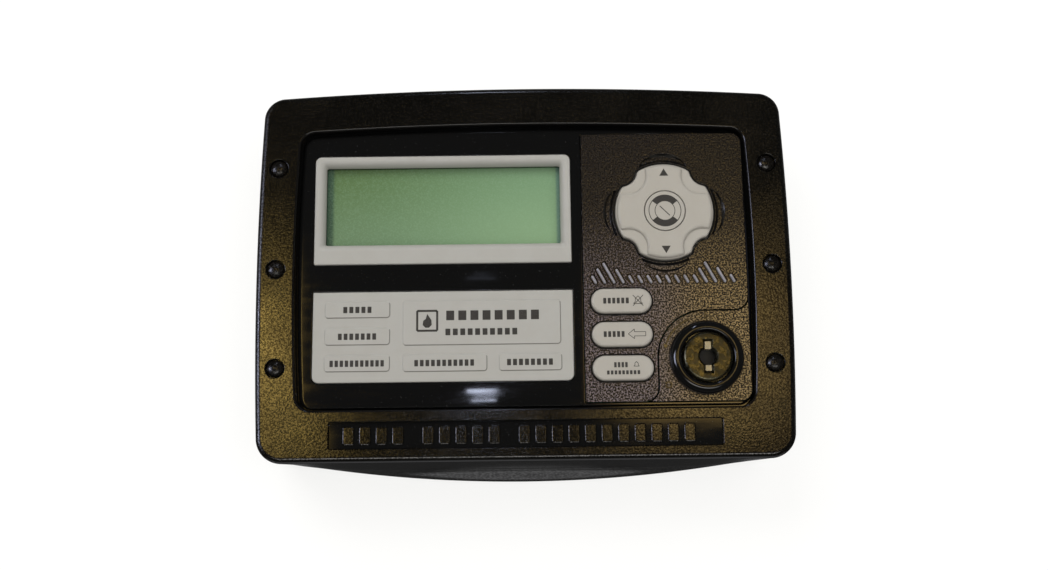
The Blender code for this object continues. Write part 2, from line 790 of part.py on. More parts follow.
# ---------------------------------------------------------------- main board


def main_board(make):
    half, tall = BOARD_HALF_WIDTH, BOARD_HALF_HEIGHT
    loops = [rounded_box(-half, half, -tall, tall, 1.5)]
    loops.append(circle(LOCK_X, LOCK_Z, 10.6, 32))
    loops += [circle(x, z, 1.6, 12) for x, z in BOSSES]
    make.plate("main_board", loops, BOARD_BACK, BOARD_FRONT, "circuit_green")
    under = BOARD_BACK - FIT
    chip = rounded_box(22.0, 36.0, 8.0, 22.0, 0.3)
    make.plate("controller_chip", [chip], under - 1.6, under, "black_plastic")
    for number, (x, z) in enumerate(BOSSES, 1):
        head = [(0, 25.5), (1.2, 25.2), (1.2, under), (2.4, under), (2.4, under - 1.0)]
        head += [(1.6, under - 1.7), (0, under - 1.7)]
        make.turned(f"board_screw_{number}", (x, z), head, "zinc_plate", 12, closed=False)


def terminal_block(make, name, left, bottom, ways):
    """A screw terminal on the wall side of the board: wires enter from below, screws face the wall."""
    pitch, high = 5.08, 11.0
    top = BOARD_BACK - FIT
    low = top - 9.5
    right = left + pitch * ways + 1.0
    body = make.plate(name, [rounded_box(left, right, bottom, bottom + high, 0.5)], low, top, "terminal_green")
    screws, wires = [], []
    for i in range(ways):
        x = left + 0.5 + pitch * (i + 0.5)
        screws.append((circle(x, bottom + 6.8, 1.9, 12), low - 1, low + 2.0))
        wires.append(box(x - 1.7, x + 1.7, bottom - 1, bottom + 3.2, low + 4.2, low + 7.4))
    make.cut(body, make.plates(f"{name}_screws", screws, None))
    make.cut(body, make.plates(f"{name}_wires", wires, None))


def sounder(make):
    """The round piezo sounder behind the slanted ribs."""
    base = BOARD_FRONT + FIT
    shell = [(1.2, base + 7.0), (5.6, base + 7.0), (6.0, base + 6.6), (6.0, base), (0, base)]
    shell += [(0, base + 5.4), (1.2, base + 5.4)]
    make.turned("piezo_sounder", (62.5, -6.6), shell, "black_plastic", 28)


def tact_switch(make, name, x, z, top, bored):
    """A push switch on the board. A bored one takes the separate stem under a key."""
    half = 3.1
    low, high = BOARD_FRONT + FIT, SWITCH_TOP
    body = make.plate(name, [rounded_box(x - half, x + half, z - half, z + half, 0.5)], low, high, "black_plastic")
    if bored:
        bore = [(circle(x, z, 1.9, 16), high - 2.0, high + 1)]
        make.cut(body, make.plates(f"{name}_bore", bore, None))
    else:
        stud = [(circle(x, z, 1.7, 16), high - 0.5, top)]
        make.add(body, make.plates(f"{name}_stud", stud, None))


def stem(make, name, x, z):
    low = SWITCH_TOP - 1.2
    profile = [(0, STEM_TOP), (1.5, STEM_TOP), (1.7, STEM_TOP - 0.2), (1.7, low), (0, low)]
    make.turned(name, (x, z), profile, "white_plastic", 12, closed=False)


# ---------------------------------------------------------------- keys, pad and key switch


def key(make, name, z):
    """A stadium key: a rounded cap, a flange behind the plate and a rod to its switch."""
    length, height = KEY_LENGTH, KEY_HEIGHT
    flange = ISLAND_BACK - KEY_GAP
    rings = [(stadium(KEY_X, z, length + 1.8, height + 1.8), flange - 1.0)]
    rings.append((stadium(KEY_X, z, length + 1.8, height + 1.8), flange))
    rings.append((stadium(KEY_X, z, length, height), flange))
    for drop, inset in ((0.8, 0.0), (0.35, 0.15), (0.1, 0.45), (0.0, 0.9)):
        outline = stadium(KEY_X, z, length - 2 * inset, height - 2 * inset)
        rings.append((outline, KEY_FRONT - drop))
    cap = make.stack(f"{name}_key", rings, "key_grey", origin=(KEY_X, z, flange))
    rod = [(circle(KEY_X, z, 1.9, 16), STEM_TOP + FIT, flange - 0.5)]
    make.add(cap, make.plates(f"{name}_rod", rod, None))


def nav_pad(make):
    """The four-lobed pad. It rocks about a level line to press the upper or the lower switch."""
    rings = [
        (pad_edge(0.9), ISLAND_BACK - 2.3),
        (pad_edge(0.9), ISLAND_BACK - 1.0),
        (pad_edge(), ISLAND_BACK - 1.0),
        (pad_edge(), PAD_FRONT - 1.5),
        (pad_edge(-0.25), PAD_FRONT - 1.0),
    ]
    pad = make.stack("nav_pad", rings, "key_grey", origin=(PAD_X, PAD_Z, PAD_PIVOT))
    raised = [
        (lobed(PAD_X, PAD_Z, 15.9, 6.3, 17.4), PAD_FRONT - 1.4),
        (lobed(PAD_X, PAD_Z, 15.9, 6.3, 17.4), PAD_FRONT - 0.7),
        (lobed(PAD_X, PAD_Z, 15.6, 6.6, 17.4), PAD_FRONT - 0.2),
        (lobed(PAD_X, PAD_Z, 15.0, 7.2, 17.4), PAD_FRONT),
    ]
    make.add(pad, make.stack("pad_cross", raised, None))
    bore = [(circle(PAD_X, PAD_Z, CENTRE_RADIUS + 0.4, 40), ISLAND_BACK - 4, PAD_FRONT + 1)]
    make.cut(pad, make.plates("pad_bore", bore, None))
    rods = []
    for side in (-1, 1):
        z = PAD_Z + side * PAD_SWITCH_ARM
        rods.append((circle(PAD_X, z, 1.9, 16), STEM_TOP + 0.3, ISLAND_BACK - 1.8))
    make.add(pad, make.plates("pad_rods", rods, None))


def acknowledge_button(make):
    front = PAD_FRONT + 0.1
    low = ISLAND_BACK - 4.2
    profile = [(0, front), (5.9, front), (6.4, front - 0.15), (CENTRE_RADIUS, front - 0.6)]
    profile += [(CENTRE_RADIUS, low + 1.2), (8.2, low + 1.2), (8.2, low)]
    profile += [(1.9, low), (1.9, STEM_TOP + FIT), (0, STEM_TOP + FIT)]
    make.turned("acknowledge_button", (PAD_X, PAD_Z), profile, "key_grey", 32, closed=False)


def key_switch(make):
    centre = (LOCK_X, LOCK_Z)
    base = ISLAND_FRONT + FIT
    ring = [(8.9, base + 3.5), (9.7, base + 3.6), (10.7, base + 3.2), (11.6, base + 2.3)]
    ring += [(12.15, base + 1.0), (12.2, base), (8.45, base), (8.45, base + 2.9)]
    make.turned("lock_ring", centre, ring, "gloss_black", 32)
    tube = [(8.25, ISLAND_FRONT), (9.4, ISLAND_FRONT), (9.4, 22.0), (8.25, 22.0)]
    make.turned("lock_body", centre, tube, "zinc_plate", 32)
    nut_high = ISLAND_BACK - 0.2
    nut = [circle(LOCK_X, LOCK_Z, 13.0, 6), circle(LOCK_X, LOCK_Z, 9.55, 32)]
    make.plate("lock_nut", nut, nut_high - 3.0, nut_high, "zinc_plate")
    key_plug(make, centre)
    low = 14.4
    cup = [(7.4, 21.8), (9.2, 21.8), (9.2, low), (0, low), (0, low + 1.8), (7.4, low + 1.8)]
    block = make.frozen(make.turned("contact_block", centre, cup, "black_plastic", 32))
    tabs = [box(LOCK_X + x - 1.4, LOCK_X + x + 1.4, LOCK_Z - 3.5, LOCK_Z - 2.7, low - 6, low + 1) for x in (-5, 0, 5)]
    make.add(block, make.plates("contact_tabs", tabs, None))
    rotor = [(3.0, 20.2), (6.8, 20.2), (6.8, 18.4), (3.0, 18.4)]
    make.turned("switch_rotor", centre, rotor, "white_plastic", 24)


def key_plug(make, centre):
    """The turning plug: a keyway across a sunk middle, and a tail that carries the rotor."""
    front = PLUG_FRONT
    profile = [(0, front - 0.5), (2.9, front - 0.5), (3.2, front - 0.1), (3.5, front), (7.2, front)]
    profile += [(7.8, front - 0.25), (PLUG_RADIUS, front - 0.8), (PLUG_RADIUS, 24.0)]
    profile += [(2.8, 24.0), (2.8, 16.9), (0, 16.9)]
    plug = make.frozen(make.turned("key_plug", centre, profile, "plug_brass", 32, closed=False))
    x, z = centre
    keyway = [(rounded_box(x - 1.15, x + 1.15, z - 5.1, z + 5.1, 0.3), front - 6.0, front + 1)]
    make.cut(plug, make.plates("keyway", keyway, None))
    round_way = [(circle(x, z, 2.8, 20), front - 4.0, front + 1)]
    make.cut(plug, make.plates("keyway_middle", round_way, None))


# ---------------------------------------------------------------- assembly


def hinge_cover(collection):
    """Hang everything but the back plate on an empty at the cover's hinge line."""
    pivot = bpy.data.objects.new("cover_hinge", None)
    pivot.location = (0, -HINGE_H * MM, HINGE_Z * MM)
    collection.objects.link(pivot)
    bpy.context.view_layer.update()
    for obj in list(collection.objects):
        if obj is pivot or obj.name == "back_plate":
            continue
        obj.parent = pivot
        obj.matrix_parent_inverse = pivot.matrix_world.inverted()


def build():
    clear_scene()
    scene = bpy.context.scene.collection
    shown = new_collection("fire_alarm_annunciator", scene)
    cutters = new_collection("cutters", scene, hidden=True)
    make = Builder(shown, cutters)
    back_plate(make)
    front_cover(make)
    display_fascia(make)
    control_fascia(make)
    lock_plate(make)
    lcd_bezel(make)
    label_panel(make)
    light_box(make)
    lamps(make)
    cover_plugs(make)
    display_module(make)
    display_header(make)
    main_board(make)
    terminal_block(make, "power_terminals", -70.0, 20.0, 4)
    terminal_block(make, "data_terminals", -70.0, -8.0, 4)
    sounder(make)
    for name, z in KEYS:
        tact_switch(make, f"{name}_switch", KEY_X, z, STEM_TOP, True)
        stem(make, f"{name}_stem", KEY_X, z)
        key(make, name, z)
    tact_switch(make, "acknowledge_switch", PAD_X, PAD_Z, STEM_TOP, True)
    stem(make, "acknowledge_stem", PAD_X, PAD_Z)
    tact_switch(make, "up_switch", PAD_X, PAD_Z + PAD_SWITCH_ARM, STEM_TOP - 0.6, False)
    tact_switch(make, "down_switch", PAD_X, PAD_Z - PAD_SWITCH_ARM, STEM_TOP - 0.6, False)
    nav_pad(make)
    acknowledge_button(make)
    key_switch(make)
    hinge_cover(shown)


build()
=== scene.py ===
import json
import math

import bmesh
import bpy
from mathutils import Matrix, Vector


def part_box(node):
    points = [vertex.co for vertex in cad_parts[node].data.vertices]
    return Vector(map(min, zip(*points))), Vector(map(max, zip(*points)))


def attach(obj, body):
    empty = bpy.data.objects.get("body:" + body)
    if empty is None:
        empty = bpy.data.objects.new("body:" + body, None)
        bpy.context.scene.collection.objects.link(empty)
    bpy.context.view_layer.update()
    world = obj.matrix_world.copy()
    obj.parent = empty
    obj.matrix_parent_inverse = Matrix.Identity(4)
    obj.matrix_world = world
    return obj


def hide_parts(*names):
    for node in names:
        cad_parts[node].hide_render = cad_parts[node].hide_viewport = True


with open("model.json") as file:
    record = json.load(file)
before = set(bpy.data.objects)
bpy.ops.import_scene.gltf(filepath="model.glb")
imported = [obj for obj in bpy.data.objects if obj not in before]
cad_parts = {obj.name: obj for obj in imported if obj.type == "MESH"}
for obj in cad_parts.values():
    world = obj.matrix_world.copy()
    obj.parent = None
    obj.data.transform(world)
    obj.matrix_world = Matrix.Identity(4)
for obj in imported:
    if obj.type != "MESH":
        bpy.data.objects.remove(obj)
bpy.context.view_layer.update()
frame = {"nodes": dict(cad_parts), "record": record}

MM = 0.001


# ---- where the CAD pieces are


class Span:
    """The box of a CAD node in millimetres: x across, z up, h out from the wall."""

    def __init__(self, node):
        low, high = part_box(node)
        self.left, self.right = low.x / MM, high.x / MM
        self.bottom, self.top = low.z / MM, high.z / MM
        self.back, self.front = -high.y / MM, -low.y / MM
        self.x = (self.left + self.right) / 2
        self.z = (self.bottom + self.top) / 2

    def outline(self, inset=0.0, radii=0.0):
        box = (self.left + inset, self.right - inset, self.bottom + inset, self.top - inset)
        return rounded_box(*box, radii)

    def shrinking(self, radii):
        """A function that gives the outline at an inset, with corners that shrink with it."""
        return lambda inset: self.outline(inset, tuple(max(radius - inset, 0.15) for radius in radii))

    def holds(self, x, z, margin):
        """Whether a place is inside, that far from the edges. A negative margin reaches outside."""
        inside = self.left + margin < x < self.right - margin
        return inside and self.bottom + margin < z < self.top - margin


COVER = Span("front_cover")
TRAY = Span("back_plate")
FASCIA = Span("display_fascia")
ISLAND = Span("control_fascia")
BEZEL = Span("lcd_bezel")
LABEL = Span("label_panel")
PAD = Span("nav_pad")
RING = Span("lock_ring")
PLUG = Span("key_plug")
ISLAND_BOX = Span("control_fascia")
ISLAND_BOX.right = max(ISLAND.right, Span("lock_plate").right)

FRONT = COVER.front
SEAM = FRONT - 20.0
PLATE = FASCIA.front + 0.8
WALL = 2.2
COVER_WALL = 2.4
BOW = 1.25
HALF = COVER.right - BOW
OVER = 0.02
KEY_LENGTH, KEY_HEIGHT = 20.0, 8.2
ARM, TONGUE = 45.0, 35.0


# ---- outlines, lists of (x, z)


def arc(cx, cz, radius, start, end, steps):
    points = []
    for i in range(steps + 1):
        angle = math.radians(start + (end - start) * i / steps)
        points.append((cx + radius * math.cos(angle), cz + radius * math.sin(angle)))
    return points


def circle(cx, cz, radius, steps=48):
    return arc(cx, cz, radius, 0, 360, steps)[:-1]


def rounded_box(left, right, bottom, top, radii=0.0, steps=8):
    """The radii are those of the lower left, lower right, upper right and upper left corner."""
    if isinstance(radii, (int, float)):
        radii = (radii,) * 4
    corners = ((left, bottom, 1, 1), (right, bottom, -1, 1), (right, top, -1, -1), (left, top, 1, -1))
    points = []
    for (x, z, sx, sz), radius, start in zip(corners, radii, (180, 270, 0, 90)):
        if radius > 0:
            points += arc(x + sx * radius, z + sz * radius, radius, start, start + 90, steps)
        else:
            points.append((x, z))
    return points


def stadium(cx, cz, length, height, steps=20):
    radius = height / 2
    run = length / 2 - radius
    return arc(cx + run, cz, radius, -90, 90, steps) + arc(cx - run, cz, radius, 90, 270, steps)


def lobed(cx, cz, radius, notch_radius, notch_centre, steps=192):
    """A circle with a round notch on each diagonal, blended softly into it."""
    points, blur = [], 0.35
    for i in range(steps):
        angle = 2 * math.pi * i / steps
        off = (angle - math.pi / 4) % (math.pi / 2)
        off = min(off, math.pi / 2 - off)
        reach = radius
        side = notch_centre * math.sin(off)
        if side < notch_radius:
            gap = notch_centre * math.cos(off) - math.sqrt(notch_radius**2 - side**2) - radius
            reach = radius + (gap - math.hypot(gap, blur)) / 2
        points.append((cx + reach * math.cos(angle), cz + reach * math.sin(angle)))
    return points


def arched(half, top, top_end, bottom, bottom_end, corners, inset=0.0, power=2):
    """A wide box outline with arched top and bottom edges, bowed sides and round corners.

    A higher power keeps the bottom edge straighter in the middle and lifts it nearer the ends.
    """
    half, top, top_end = half - inset, top - inset, top_end - inset
    bottom, bottom_end = bottom + inset, bottom_end + inset
    low, high = (max(corner - inset, 0.4) for corner in corners)
    edge, side, turn = 40, 16, 14

    def across(mid, end, reach, direction, degree=2):
        shares = [-1 + 2 * i / edge for i in range(1, edge)]
        return [(direction * reach * t, mid + (end - mid) * t**degree) for t in shares]

    def along(start, end, direction):
        shares = [i / side for i in range(1, side)]
        places = [(half + BOW * (1 - (2 * t - 1) ** 2), start + (end - start) * t) for t in shares]
        return [(direction * x, z) for x, z in places]

    points = across(bottom, bottom_end, half - low, 1, power)
    points += arc(half - low, bottom_end + low, low, -90, 0, turn)
    points += along(bottom_end + low, top_end - high, 1)
    points += arc(half - high, top_end - high, high, 0, 90, turn)
    points += across(top, top_end, half - high, -1)
    points += arc(high - half, top_end - high, high, 90, 180, turn)
    points += along(top_end - high, bottom_end + low, -1)
    points += arc(low - half, bottom_end + low, low, 180, 270, turn)
    return points


def seam_outline(inset=0.0):
    top, bottom = COVER.top, COVER.bottom
    return arched(HALF, top, top - 2.6, bottom, bottom + 2.35, (8.5, 7.5), inset, power=6)


def face_outline(inset=0.0):
    top, bottom = COVER.top - 1.7, COVER.bottom + 2.25
    return arched(HALF, top, top - 2.6, bottom, bottom, (8.5, 7.5), inset)


def wall_outline(inset=0.0):
    end = TRAY.top - 6.65
    return arched(HALF, TRAY.top, end, TRAY.bottom, -end, (8.5, 8.5), inset)


def recess_outline(inset=0.0):
    top, bottom = FASCIA.top - 1.7, FASCIA.bottom + 1.7
    return arched(FASCIA.right - 1.7 - BOW, top, top - 2.0, bottom, bottom, (5.0, 5.0), inset)


def blend(first, second, share):
    return [
        (x0 + (x1 - x0) * share, z0 + (z1 - z0) * share)
        for (x0, z0), (x1, z1) in zip(first, second)
    ]


def quarter(steps):
    """How far in (0 to 1) and how far up (0 to 1) a round edge has come, step by step."""
    for i in range(steps + 1):
        angle = math.pi / 2 * i / steps
        yield 1 - math.cos(angle), math.sin(angle)


def rounding(outline, front, radius, steps):
    """Rings that round an outline over into a front face, from the side to the top."""
    return [(outline(radius * inward), front - radius * (1 - up)) for inward, up in quarter(steps)]


def opening(small, wide, low, lip, front=FRONT):
    """A cutter through a panel, whose mouth widens over the last bit before the front."""
    return [(small, low), (small, front - lip), (wide, front + OVER), (wide, front + 1)]


# ---- meshes


def linked(name, data):
    obj = bpy.data.objects.new(name, data)
    bpy.context.scene.collection.objects.link(obj)
    return obj


def mesh_object(name, form):
    bmesh.ops.recalc_face_normals(form, faces=form.faces)
    mesh = bpy.data.meshes.new(name)
    form.to_mesh(mesh)
    form.free()
    return linked(name, mesh)


def add_loop(form, outline, h):
    return [form.verts.new((x * MM, -h * MM, z * MM)) for x, z in outline]


def shape(name, *bodies):
    """One mesh of closed bodies. Each is a list of rings (outline, h) with the same number of points."""
    form = bmesh.new()
    for rings in bodies:
        loops = [add_loop(form, outline, h) for outline, h in rings]
        form.faces.new(list(reversed(loops[0])))
        form.faces.new(loops[-1])
        for lower, upper in zip(loops, loops[1:]):
            for i in range(len(lower)):
                form.faces.new((lower[i - 1], lower[i], upper[i], upper[i - 1]))
    return mesh_object(name, form)


def slab(outline, low, high):
    return [(outline, low), (outline, high)]


def turned(name, span, profile, steps=64, closed=False):
    """A body turned about the middle of a piece. The profile is a list of (radius, h)."""
    form = bmesh.new()
    rings = []
    for radius, h in profile:
        ring = [(span.x, span.z)] if radius < 1e-6 else circle(span.x, span.z, radius, steps)
        rings.append(add_loop(form, ring, h))
    if closed:
        rings.append(rings[0])
    for upper, lower in zip(rings, rings[1:]):
        for i in range(steps):
            j = (i + 1) % steps
            corners = [ring[k % len(ring)] for ring, k in ((upper, i), (upper, j), (lower, j), (lower, i))]
            unique = list(dict.fromkeys(corners))
            if len(unique) > 2:
                form.faces.new(unique)
    return mesh_object(name, form)


def combine(target, tool, operation):
    """Cut the tool from the target or add it, and keep the result as plain mesh."""
    step = target.modifiers.new("step", "BOOLEAN")
    step.operation = operation
    step.solver = "EXACT"
    step.object = tool
    graph = bpy.context.evaluated_depsgraph_get()
    mesh = bpy.data.meshes.new_from_object(target.evaluated_get(graph))
    target.modifiers.clear()
    target.data = mesh
    bpy.data.objects.remove(tool, do_unlink=True)


def cut(target, *bodies):
    combine(target, shape("tool", *bodies), "DIFFERENCE")


def add(target, *bodies):
    combine(target, shape("tool", *bodies), "UNION")


def finish_piece(obj, body, skin, nodes=(), sharp=32):
    """Smooth shading with flat faces kept flat, then the material, the body and the CAD nodes it replaces."""
    mesh = obj.data
    mesh.materials.clear()
    mesh.materials.append(SKIN[skin])
    mesh.polygons.foreach_set("use_smooth", [True] * len(mesh.polygons))
    mesh.set_sharp_from_angle(angle=math.radians(sharp))
    weigh = obj.modifiers.new("weighted", "WEIGHTED_NORMAL")
    weigh.keep_sharp = True
    weigh.weight = 80
    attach(obj, body)
    if nodes:
        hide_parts(*nodes)


def repaint(piece, skin, chosen):
    """Give that material to the faces whose x, h, z in millimetres and normal are chosen."""
    piece.data.materials.append(SKIN[skin])
    for face in piece.data.polygons:
        middle = face.center / MM
        if chosen(middle.x, -middle.y, middle.z, face.normal):
            face.material_index = len(piece.data.materials) - 1


# ---- materials


class Nodes:
    """Short ways to add shader nodes and to join them."""

    def __init__(self, tree):
        self.tree = tree

    def new(self, kind, **inputs):
        """Add a node and give its sockets what they need."""
        node = self.tree.nodes.new(f"ShaderNode{kind}")
        self.fill(node, **inputs)
        return node

    def fill(self, node, **inputs):
        """Feed the named sockets of a node. An underscore stands for a space."""
        for key, item in inputs.items():
            self.feed(node.inputs[key.replace("_", " ")], item)

    def feed(self, socket, item):
        """Set a socket to a number or a colour, or link another node's output to it."""
        if isinstance(item, (int, float)):
            socket.default_value = item
        elif isinstance(item, tuple):
            socket.default_value = (*item, 1)
        else:
            self.tree.links.new(item, socket)

    def ramp(self, source, low, high, to_low=0.0, to_high=1.0):
        node = self.new("MapRange", Value=source, From_Min=low, From_Max=high, To_Min=to_low, To_Max=to_high)
        node.interpolation_type = "SMOOTHSTEP"
        return node.outputs["Result"]

    def math(self, operation, first, second=0.0):
        node = self.new("Math")
        node.operation = operation
        self.feed(node.inputs[0], first)
        self.feed(node.inputs[1], second)
        return node.outputs["Value"]

    def mix(self, share, first, second):
        node = self.new("Mix")
        node.data_type = "RGBA"
        for index, item in ((0, share), (6, first), (7, second)):
            self.feed(node.inputs[index], item)
        return node.outputs[2]


class Look(Nodes):
    """A Principled material put together in object space, whose edges catch light as a radius does."""

    def __init__(self, name, colour, roughness=0.5, edges_mm=0.2, **inputs):
        self.material = bpy.data.materials.new(name)
        self.material.use_nodes = True
        super().__init__(self.material.node_tree)
        self.shader = self.tree.nodes["Principled BSDF"]
        self.set(Base_Color=colour, Roughness=roughness, **inputs)
        self.coordinates = self.new("TexCoord").outputs["Object"]
        self.normal = None
        if edges_mm:
            bevel = self.new("Bevel", Radius=edges_mm * MM)
            bevel.samples = 4
            self.normal = bevel.outputs["Normal"]
            self.set(Normal=self.normal)

    def set(self, **inputs):
        self.fill(self.shader, **inputs)

    def noise(self, size_mm, detail=2.0, roughness=0.5, stretch=None):
        source = self.mapped("Scale", stretch) if stretch else self.coordinates
        scale = 1 / (size_mm * MM)
        node = self.new("TexNoise", Scale=scale, Detail=detail, Roughness=roughness, Vector=source)
        return node.outputs["Fac"]

    def mapped(self, socket, values):
        mapping = self.new("Mapping", Vector=self.coordinates)
        mapping.inputs[socket].default_value = values
        return mapping.outputs["Vector"]

    def cells(self, size_mm):
        return self.new("TexVoronoi", Scale=1 / (size_mm * MM), Vector=self.coordinates).outputs["Distance"]

    def axis(self, index):
        return self.new("SeparateXYZ", Vector=self.coordinates).outputs[index]

    def bump(self, height, depth_mm, strength=1.0):
        node = self.new("Bump", Strength=strength, Distance=depth_mm * MM, Height=height)
        if self.normal is not None:
            self.fill(node, Normal=self.normal)
        self.set(Normal=node.outputs["Normal"])
        return self.material


def scaled(colour, share):
    return tuple(channel * share for channel in colour)


def textured_black(name, colour, light, grain_mm, depth_mm, rough):
    """Spark-eroded black plastic: fine hard grain that breaks up the sheen, worn tips and uneven gloss."""
    look = Look(name, colour)
    grain = look.noise(grain_mm, 1.0, 0.6)
    pits = look.cells(grain_mm * 1.5)
    patches = look.noise(14.0, 3.0)
    body = look.mix(look.ramp(patches, 0.35, 0.65), scaled(colour, 0.75), colour)
    look.set(
        Base_Color=look.mix(look.ramp(grain, 0.52, 0.66), body, light),
        Specular_IOR_Level=look.ramp(grain, 0.40, 0.60, 0.30, 0.90),
        Roughness=look.ramp(patches, 0.3, 0.7, rough - 0.03, rough + 0.03),
    )
    return look.bump(look.math("ADD", grain, look.math("MULTIPLY", pits, 0.5)), depth_mm)


def panel_texture():
    """Coarser grain with worn tips for the control plate; the tips also carry a painted sheen, a cool painted
    reflection at the left and a warm one at the right, fading away towards the top.
    """
    look = Look("panel_texture", (0.010, 0.0085, 0.008), 0.22)
    grain = look.noise(0.55, 1.5, 0.6)
    pits = look.cells(0.9)
    # painted reflection: the tips go from cool at the left to warm at the right, and fade to dark towards the
    # top
    across = look.ramp(look.axis(0), 38 * MM, 62 * MM)
    low = look.ramp(look.axis(2), 26 * MM, -22 * MM, 0.05, 1.0)
    tips_and_painted_sheen = look.mix(across, (0.120, 0.100, 0.122), (0.225, 0.155, 0.066))
    tips_and_painted_sheen = look.mix(low, (0.006, 0.005, 0.004), tips_and_painted_sheen)
    look.set(
        Base_Color=look.mix(look.ramp(grain, 0.44, 0.64), (0.009, 0.0075, 0.0065), tips_and_painted_sheen),
        Specular_IOR_Level=look.ramp(grain, 0.40, 0.60, 0.2, 0.9),
    )
    return look.bump(look.math("ADD", grain, look.math("MULTIPLY", pits, 0.5)), 0.045)


def gloss_black():
    """Polished black plastic with dust, fine wipe marks and a very slight ripple."""
    look = Look("gloss_black", (0.004, 0.004, 0.004), 0.08)
    wipes = look.noise(3.0, 4.0, 0.6, stretch=(0.15, 1.0, 1.0))
    dust = look.ramp(look.noise(0.5, 1.0), 0.73, 0.80)
    look.set(
        Roughness=look.ramp(wipes, 0.35, 0.75, 0.03, 0.07),
        Base_Color=look.mix(dust, (0.004, 0.004, 0.004), (0.03, 0.03, 0.03)),
    )
    return look.bump(look.noise(12.0, 1.0), 0.012, 0.25)


def pale_plastic(name, colour, rough):
    """Light grey moulding with faint mottling, fine texture and slight handling marks."""
    look = Look(name, colour, rough, 0.3, Specular_IOR_Level=0.45)
    mottle = look.noise(6.0, 4.0, 0.6)
    fine = look.noise(0.35, 2.0)
    warm = tuple(channel * scale for channel, scale in zip(colour, (0.975, 0.97, 0.96)))
    look.set(
        Base_Color=look.mix(look.ramp(mottle, 0.35, 0.7), colour, warm),
        Roughness=look.ramp(fine, 0.3, 0.7, rough - 0.06, rough + 0.08),
    )
    return look.bump(fine, 0.012, 0.7)


def display_green():
    """The lit character display: a soft gradient, darker edges at its sides and faint specks."""
    cell = Span("lcd_glass")
    look = Look("display_green", (0.2, 0.35, 0.2), 0.22, 0, Specular_IOR_Level=0.35)
    x = look.axis(0)
    left, right = cell.left * MM, cell.right * MM
    across = look.ramp(x, left, right)
    lower = look.mix(across, (0.118, 0.190, 0.106), (0.195, 0.305, 0.172))
    upper = look.mix(across, (0.084, 0.142, 0.056), (0.150, 0.250, 0.140))
    body = look.mix(look.ramp(look.axis(2), cell.bottom * MM, cell.top * MM), lower, upper)
    edge = look.ramp(x, left + 2.3 * MM, left + 3.6 * MM)
    body = look.mix(edge, (0.045, 0.085, 0.055), body)
    side = look.ramp(x, right - 2.4 * MM, right - 1.4 * MM)
    body = look.mix(look.math("MULTIPLY", side, 0.7), body, (0.080, 0.150, 0.140))
    specks = look.ramp(look.noise(0.5, 2.0, 0.7), 0.42, 0.68)
    body = look.mix(look.math("MULTIPLY", specks, 0.14), body, (0.26, 0.40, 0.27))
    look.set(Base_Color=body, Emission_Color=body, Emission_Strength=0.05)
    return look.bump(look.noise(0.4, 2.0), 0.01, 0.4)


def metal(name, colour, rough, grain=(1.0, 1.0, 12.0)):
    """Worn metal: drawn grain and dull patches."""
    look = Look(name, colour, rough, 0.15, Metallic=1.0)
    drawn = look.noise(1.2, 4.0, 0.6, stretch=grain)
    patches = look.noise(3.0, 3.0)
    look.set(
        Base_Color=look.mix(look.ramp(patches, 0.4, 0.75), colour, scaled(colour, 0.55)),
        Roughness=look.ramp(drawn, 0.3, 0.7, rough - 0.08, rough + 0.14),
    )
    return look.bump(drawn, 0.01, 0.6)


def circuit_board():
    """Green solder mask with copper runs showing through as lighter lines, and plated dots."""
    look = Look("circuit_green", (0.02, 0.16, 0.07), 0.35, 0)
    turned_up = look.mapped("Rotation", (math.radians(90), 0, 0))
    brick = look.new("TexBrick", Scale=1 / (6.0 * MM), Mortar_Size=0.035, Mortar_Smooth=0.2, Vector=turned_up)
    runs = look.math("MULTIPLY", brick.outputs["Fac"], look.ramp(look.noise(18.0, 1.0), 0.45, 0.5))
    body = look.mix(runs, (0.012, 0.105, 0.045), (0.035, 0.230, 0.095))
    dots = look.ramp(look.cells(2.6), 0.14, 0.10)
    look.set(Base_Color=look.mix(look.math("MULTIPLY", dots, 0.8), body, (0.55, 0.50, 0.38)))
    return look.bump(look.math("ADD", runs, dots), 0.03, 0.6)


def plain_plastic(name, colour, rough, depth_mm=0.01, specular=0.5):
    look = Look(name, colour, rough, 0.12, Specular_IOR_Level=specular)
    fine = look.noise(0.5, 2.0)
    look.set(
        Base_Color=look.mix(look.ramp(look.noise(4.0, 3.0), 0.4, 0.7), colour, scaled(colour, 0.82)),
        Roughness=look.ramp(fine, 0.3, 0.7, rough - 0.05, rough + 0.08),
    )
    return look.bump(fine, depth_mm, 0.5)


def ink():
    colour = (0.030, 0.027, 0.024)
    look = Look("print_ink", colour, 0.6, 0)
    wear = look.noise(0.25, 2.0, 0.6)
    look.set(Base_Color=look.mix(look.ramp(wear, 0.55, 0.75), colour, (0.06, 0.055, 0.05)))
    return look.bump(wear, 0.004, 0.5)


